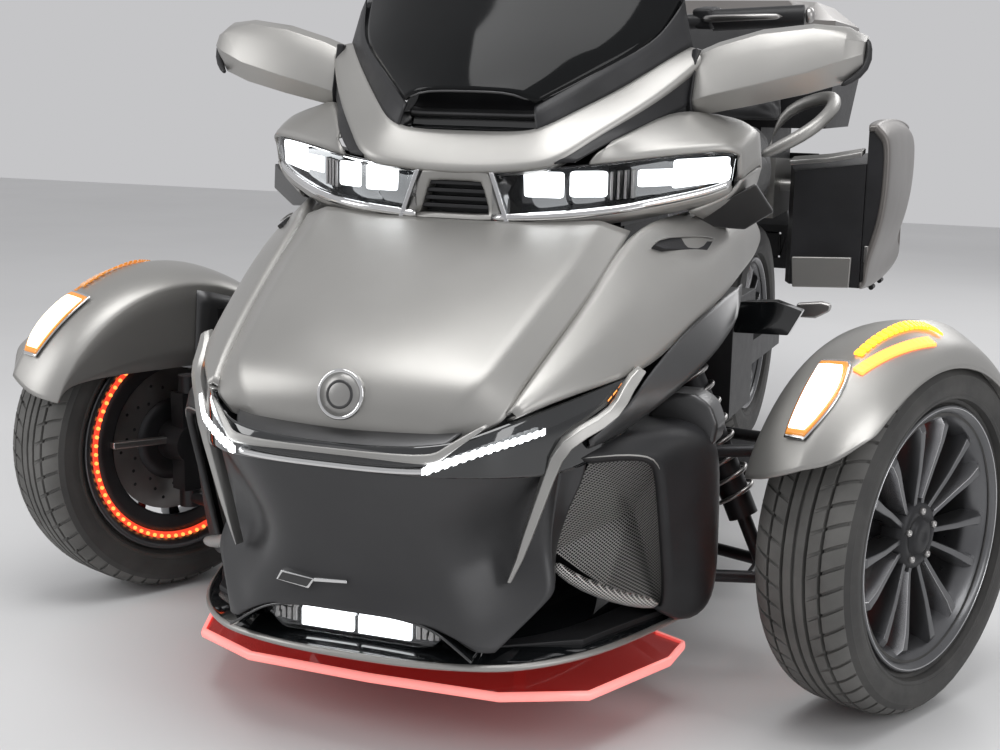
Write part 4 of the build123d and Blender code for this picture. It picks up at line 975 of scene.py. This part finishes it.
def fender_rows():
    """Rows from the front edge to the back, each from the inner skirt over to the outer edge."""
    rows = []
    for t in (0, 0.04, 0.12, 0.22, 0.32, 0.42, 0.52, 0.62, 0.72, 0.82, 0.92, 1):
        row = []
        for v in (-5, 6, 34, 70, 104, 138, 164, 177):
            front = level_at(FRONT_EDGE, v)
            row.append(fender_point(v, front + (ARCH_BACK - front) * t, -3 if t == 0 else 0))
        a = math.radians(67 - 135 * t)
        low = max(60.0, min(292.0, 146 / max(0.2, math.cos(a))))
        rows.append([round_axle(-5, low, a)] + row)
    return rows


MARKER = [(32, 52, 98), (33.5, 52, 104), (40, 54, 113), (47, 57, 110), (53, 60, 101), (55.5, 62, 93)]


def marker_rows(lift, inset):
    """Rows over the marker lamp's six-sided outline: (angle, inner and outer place)."""
    rows = []
    for a, v0, v1 in MARKER:
        a = 44 + (a - 44) * (1 - inset)
        rows.append([fender_point(v0 + (v1 - v0) * (0.5 + (k - 0.5) * (1 - inset)), a, lift)
                     for k in (0, 0.25, 0.5, 0.75, 1)])
    return rows


def arch_strip(name, path, half, lift, mat, cells=0, **more):
    """A lit band along a path of (outward place, angle) on the arch, whole or in separate cells."""
    verts, faces = [], []
    count = cells or 16
    gap = 0.14 if cells else 0.0
    for k in range(count):
        ends = [at_share([(v, a, 0) for v, a in path], (k + g) / count) for g in (gap, 1 - gap)]
        ring = [fender_point(end[0] + h, end[1], lift) for end, h in
                ((ends[0], -half), (ends[0], half), (ends[1], half), (ends[1], -half))]
        n = len(verts)
        verts += ring + shifted(ring, z=-4)
        faces += [[n + i for i in f] for f in CELL_FACES[:1] + CELL_FACES[2:]]
    return rounded(piece(name, verts, faces, mat, **more), 0.6, 1)


def arc(table, a0, a1, step):
    """Rows round the axle over (outward place, radius), from angle a0 to a1."""
    return [[round_axle(v, q, math.radians(a0 + step * k)) for v, q in table]
            for k in range(round((a1 - a0) / step) + 1)]


def skirt_row(a):
    """Three points up the skirt on the wheel's inner side, at angle a forward of the top."""
    low = min(230, 150 / math.cos(a))
    return [round_axle(v, r, a) for v, r in ((-8, low), (-9, 240), (-8, 286))]


TURN_LAMP = [(100, 28), (103, 20), (108, 12), (114, 5), (124, 0), (138, -2)]
TURN_BAND = [(115, 33), (124, 26), (133, 19), (141, 12), (148, 5)]
for tag, side in SIDES:
    near = side > 0
    on = dict(body=f"{tag}_corner", place=corner(side))
    fender = skin(f"{tag}_fender_skin", fender_rows(), satin, 4, hard_cols=(1, 5), flip=not near, crisp=0.6,
                  stands_for=(f"{tag}_fender",), **on)
    fender.modifiers["smooth"].boundary_smooth = "ALL"
    for name, lift, inset, mat in (("frame", 1.2, -0.08, chrome), ("border", 3, 0, amber_lens),
                                   ("core", 5, 0.14, white_led if near else warm_led)):
        skin(f"{tag}_marker_{name}", marker_rows(lift, inset), mat, 2, flip=not near, **on)
    arch_strip(f"{tag}_turn_lamp", TURN_LAMP, 7, 3.5, amber_led if near else amber_lens, 20, **on)
    arch_strip(f"{tag}_turn_band", TURN_BAND, 7, 2, orange_led if near else amber_lens, **on)
    lamp_v = WHEEL_OUT - 62
    ring_dots = [(round_axle(lamp_v - 2, 183, math.radians(-10 + 5 * k)), (-1, 0, 0)) for k in range(44)]
    studs(f"{tag}_ring_lights", ring_dots, 3.4, 4, orange_led, **on)
    holder = [(lamp_v + 2, 176), (lamp_v - 1, 179), (lamp_v - 1, 187), (lamp_v + 3, 190)]
    plate = [(lamp_v + 4, 143), (lamp_v + 2, 150), (lamp_v + 2, 178)]
    for name, rows, mat in (("ring_holder", arc(holder, -14, 208, 6), ring_glow),
                            ("ring_plate", arc(plate, -120, 240, 10), steel),
                            ("skirt_plate", [skirt_row(math.radians(d)) for d in (-3, -18, -32, -46)],
                             dark_satin)):
        skin(f"{tag}_{name}", rows, mat, 2, levels=1, flip=near, **on)
    tube(f"{tag}_brake_hose", [(-20, -60, 330), (0, -40, 370), (-10, -10, 420), (-70, 0, 440),
                               (-150, 10, 420)], 5, grip, **on)
    block(f"{tag}_steer_arm", [[(18, s, z - 6), (18, s, z + 7), (32, s, z + 7), (32, s, z - 6)]
                               for s, z in ((150, 292), (92, 289), (34, 286))], bare, 3, **on)
    studs(f"{tag}_stay_bolts", [((-13, -75, z), (-1, 0, 0)) for z in (360, 440, 500)], 6, 5, bare, **on)

# Seats and backrest: stuffed pads that swell in a cloth simulation
PRESSURE, SWELL_FRAMES = 4.0, 20
GRID, GROOVE_REACH, GROOVE_DEPTH = 0.006, 0.022, 0.005


def evaluated(made):
    return made.evaluated_get(bpy.context.evaluated_depsgraph_get())


def swell(made, cap, held_below):
    """Pressure swells the pad; its underside stays put, and no point moves more than cap metres."""
    group = made.vertex_groups.new(name="held")
    group.add([v.index for v in made.data.vertices if v.co.z < held_below], 1.0, "ADD")
    cloth = made.modifiers.new("swell", "CLOTH")
    cloth.settings.use_pressure = True
    cloth.settings.uniform_pressure_force = PRESSURE
    cloth.settings.effector_weights.gravity = 0
    cloth.settings.vertex_group_mass = "held"
    cloth.point_cache.frame_start, cloth.point_cache.frame_end = 1, SWELL_FRAMES
    for number in range(1, SWELL_FRAMES + 1):
        scene.frame_set(number)
    ends = [v.co.copy() for v in evaluated(made).to_mesh().vertices]
    made.modifiers.remove(cloth)
    scene.frame_set(1)
    for v, end in zip(made.data.vertices, ends):
        way = end - v.co
        v.co += way * min(1.0, cap / max(way.length, 1e-9))


def applied(made, kind, **settings):
    """The piece's mesh with one modifier worked in."""
    modifier = made.modifiers.new("even", kind)
    for key, value in settings.items():
        setattr(modifier, key, value)
    made.data = bpy.data.meshes.new_from_object(evaluated(made))
    made.modifiers.clear()


def off_segment(p, a, b):
    """How far p lies from the segment from a to b."""
    share = (p - a).dot(b - a) / (b - a).length_squared
    return (p - a - (b - a) * max(0.0, min(1.0, share))).length


def pad(node, name, seams, held, cap=0.011):
    """A padded piece from a CAD solid, with sewn grooves along seams given as paths in mm."""
    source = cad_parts[node]
    made = bpy.data.objects.new(name, source.data.copy())
    scene.collection.objects.link(made)
    made.data.transform(source.matrix_world)
    applied(made, "REMESH", mode="VOXEL", voxel_size=GRID)
    applied(made, "SMOOTH", factor=0.6, iterations=14)
    swell(made, cap, spot((0, 0, held)).z)
    parts = [(spot(a), spot(b)) for seam in seams for a, b in zip(seam, seam[1:])]
    for v in made.data.vertices:
        near = min(off_segment(v.co, a, b) if abs(v.normal.dot((b - a).normalized())) < 0.9 else 1.0
                   for a, b in parts)
        if near < GROOVE_REACH:
            v.co -= v.normal * GROOVE_DEPTH * (1 - near / GROOVE_REACH)
    made.data.materials.clear()
    made.data.materials.append(leather)
    made.data.shade_smooth()
    more = made.modifiers.new("fine", "SUBSURF")
    more.levels = more.render_levels = 1
    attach(made, "chassis")
    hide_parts(node)


rider_seams = [[(s * 96, 700, 752), (s * 140, 820, 768), (s * 150, 960, 776), (s * 140, 1036, 806)]
               for s in (-1, 1)]
rider_seams += [[(-150, 980, 778), (0, 992, 782), (150, 980, 778)],
                [(-140, 860, 770), (0, 874, 774), (140, 860, 770)]]
pad("rider_seat", "rider_seat_pad", rider_seams, 664)
pillion_seams = [[(s * 142, 1050, 854), (s * 136, 1200, 874), (s * 130, 1410, 880)] for s in (-1, 1)]
pillion_seams += [[(-140, 1150, 868), (0, 1146, 872), (140, 1150, 868)],
                  [(-136, 1290, 876), (0, 1286, 880), (136, 1290, 876)]]
pad("pillion_seat", "pillion_seat_pad", pillion_seams, 704)
pad("backrest", "backrest_pad", [[(-180, 1450, 1010), (0, 1452, 1010), (180, 1450, 1010)],
                                 [(-150, 1446, 930), (0, 1446, 926), (150, 1446, 930)]], 890)

# Grips, levers and switches on the handlebar
STEER_PIVOT, STEER_AXIS = spot((0, 300, 880)), Vector((0, 0.397609, 0.917558))


def turned(p):
    """Handlebar places are typed straight ahead and turned with the parked wheels."""
    return STEER_PIVOT + Matrix.Rotation(PARKED, 3, STEER_AXIS) @ (spot(p) - STEER_PIVOT)


on = dict(both=True, body="bars", place=turned)
tube("hand_grips", [(262, 476, 1029), (272, 481, 1028), (330, 509, 1022), (385, 535, 1016), (396, 541, 1015)],
     [15, 19, 18, 19, 16], grip, sides=16, **on)
tube("bar_ends", [(396, 541, 1015), (404, 544, 1014), (412, 548, 1013)], [14, 16, 9], bare, sides=16, **on)
tube("clutch_and_brake_levers", [(238, 452, 1034), (262, 440, 1030), (330, 462, 1022), (388, 486, 1014)],
     [6, 8, 6, 7], bare, sides=8, **on)
block("switch_pods", [[(x, y - 24, z - 18), (x, y - 24, z + 18), (x, y + 16, z + 24), (x, y + 20, z - 18)]
                      for x, y, z in ((226, 462, 1036), (258, 476, 1030))], plastic, 6, **on)

# Coil springs round the shock absorbers
COIL_STEPS, COIL_RADIUS, COIL_TURN = 90, 32, 0.56
for tag, side in SIDES:
    low, top = Vector((side * 470, 36, 190)), Vector((side * 300, 36, 560))
    axis = (top - low).normalized()
    across = axis.cross(Vector((0, 1, 0))).normalized()
    other = axis.cross(across)
    coil = [tuple(low + (top - low) * (0.26 + 0.58 * k / COIL_STEPS)
                  + COIL_RADIUS * (math.cos(k * COIL_TURN) * across + math.sin(k * COIL_TURN) * other))
            for k in range(COIL_STEPS + 1)]
    tube(f"shock_spring_{tag}", coil, 4.5, bare, sides=6)

# Latches, rims and reflectors at the back
boxes("top_case_latch", [(-46, 46, 2104, 2122, 948, 996)], bare, 4)
boxes("top_case_catch", [(-30, 30, 2102, 2118, 1006, 1034)], bare, 4, body="top_lid")
boxes("tail_lamp_rims", [(56, 184, 2150, 2160, 684, 690), (56, 184, 2150, 2160, 745, 751)], steel, 1.5,
      both=True)
boxes("case_reflectors", [(300, 420, 1958, 1966, 600, 640)], red_lens, 3, both=True)

# CAD nodes that stay
for mat, nodes in (
        (steel, "frame engine upper_arms lower_arms shocks swingarm footboards left_knuckle right_knuckle"),
        (plastic, "front_tub side_ducts dash console inner_fairing handlebar"),
        (plastic, "left_case right_case top_case top_rack rear_guard"),
        (satin, "tail_shell"), (brown_grey, "top_case_lid"), (red_lens, "tail_lamps"), (bare, "exhaust"),
        (gloss, "deflectors")):
    for node in nodes.split():
        dress(node, mat)
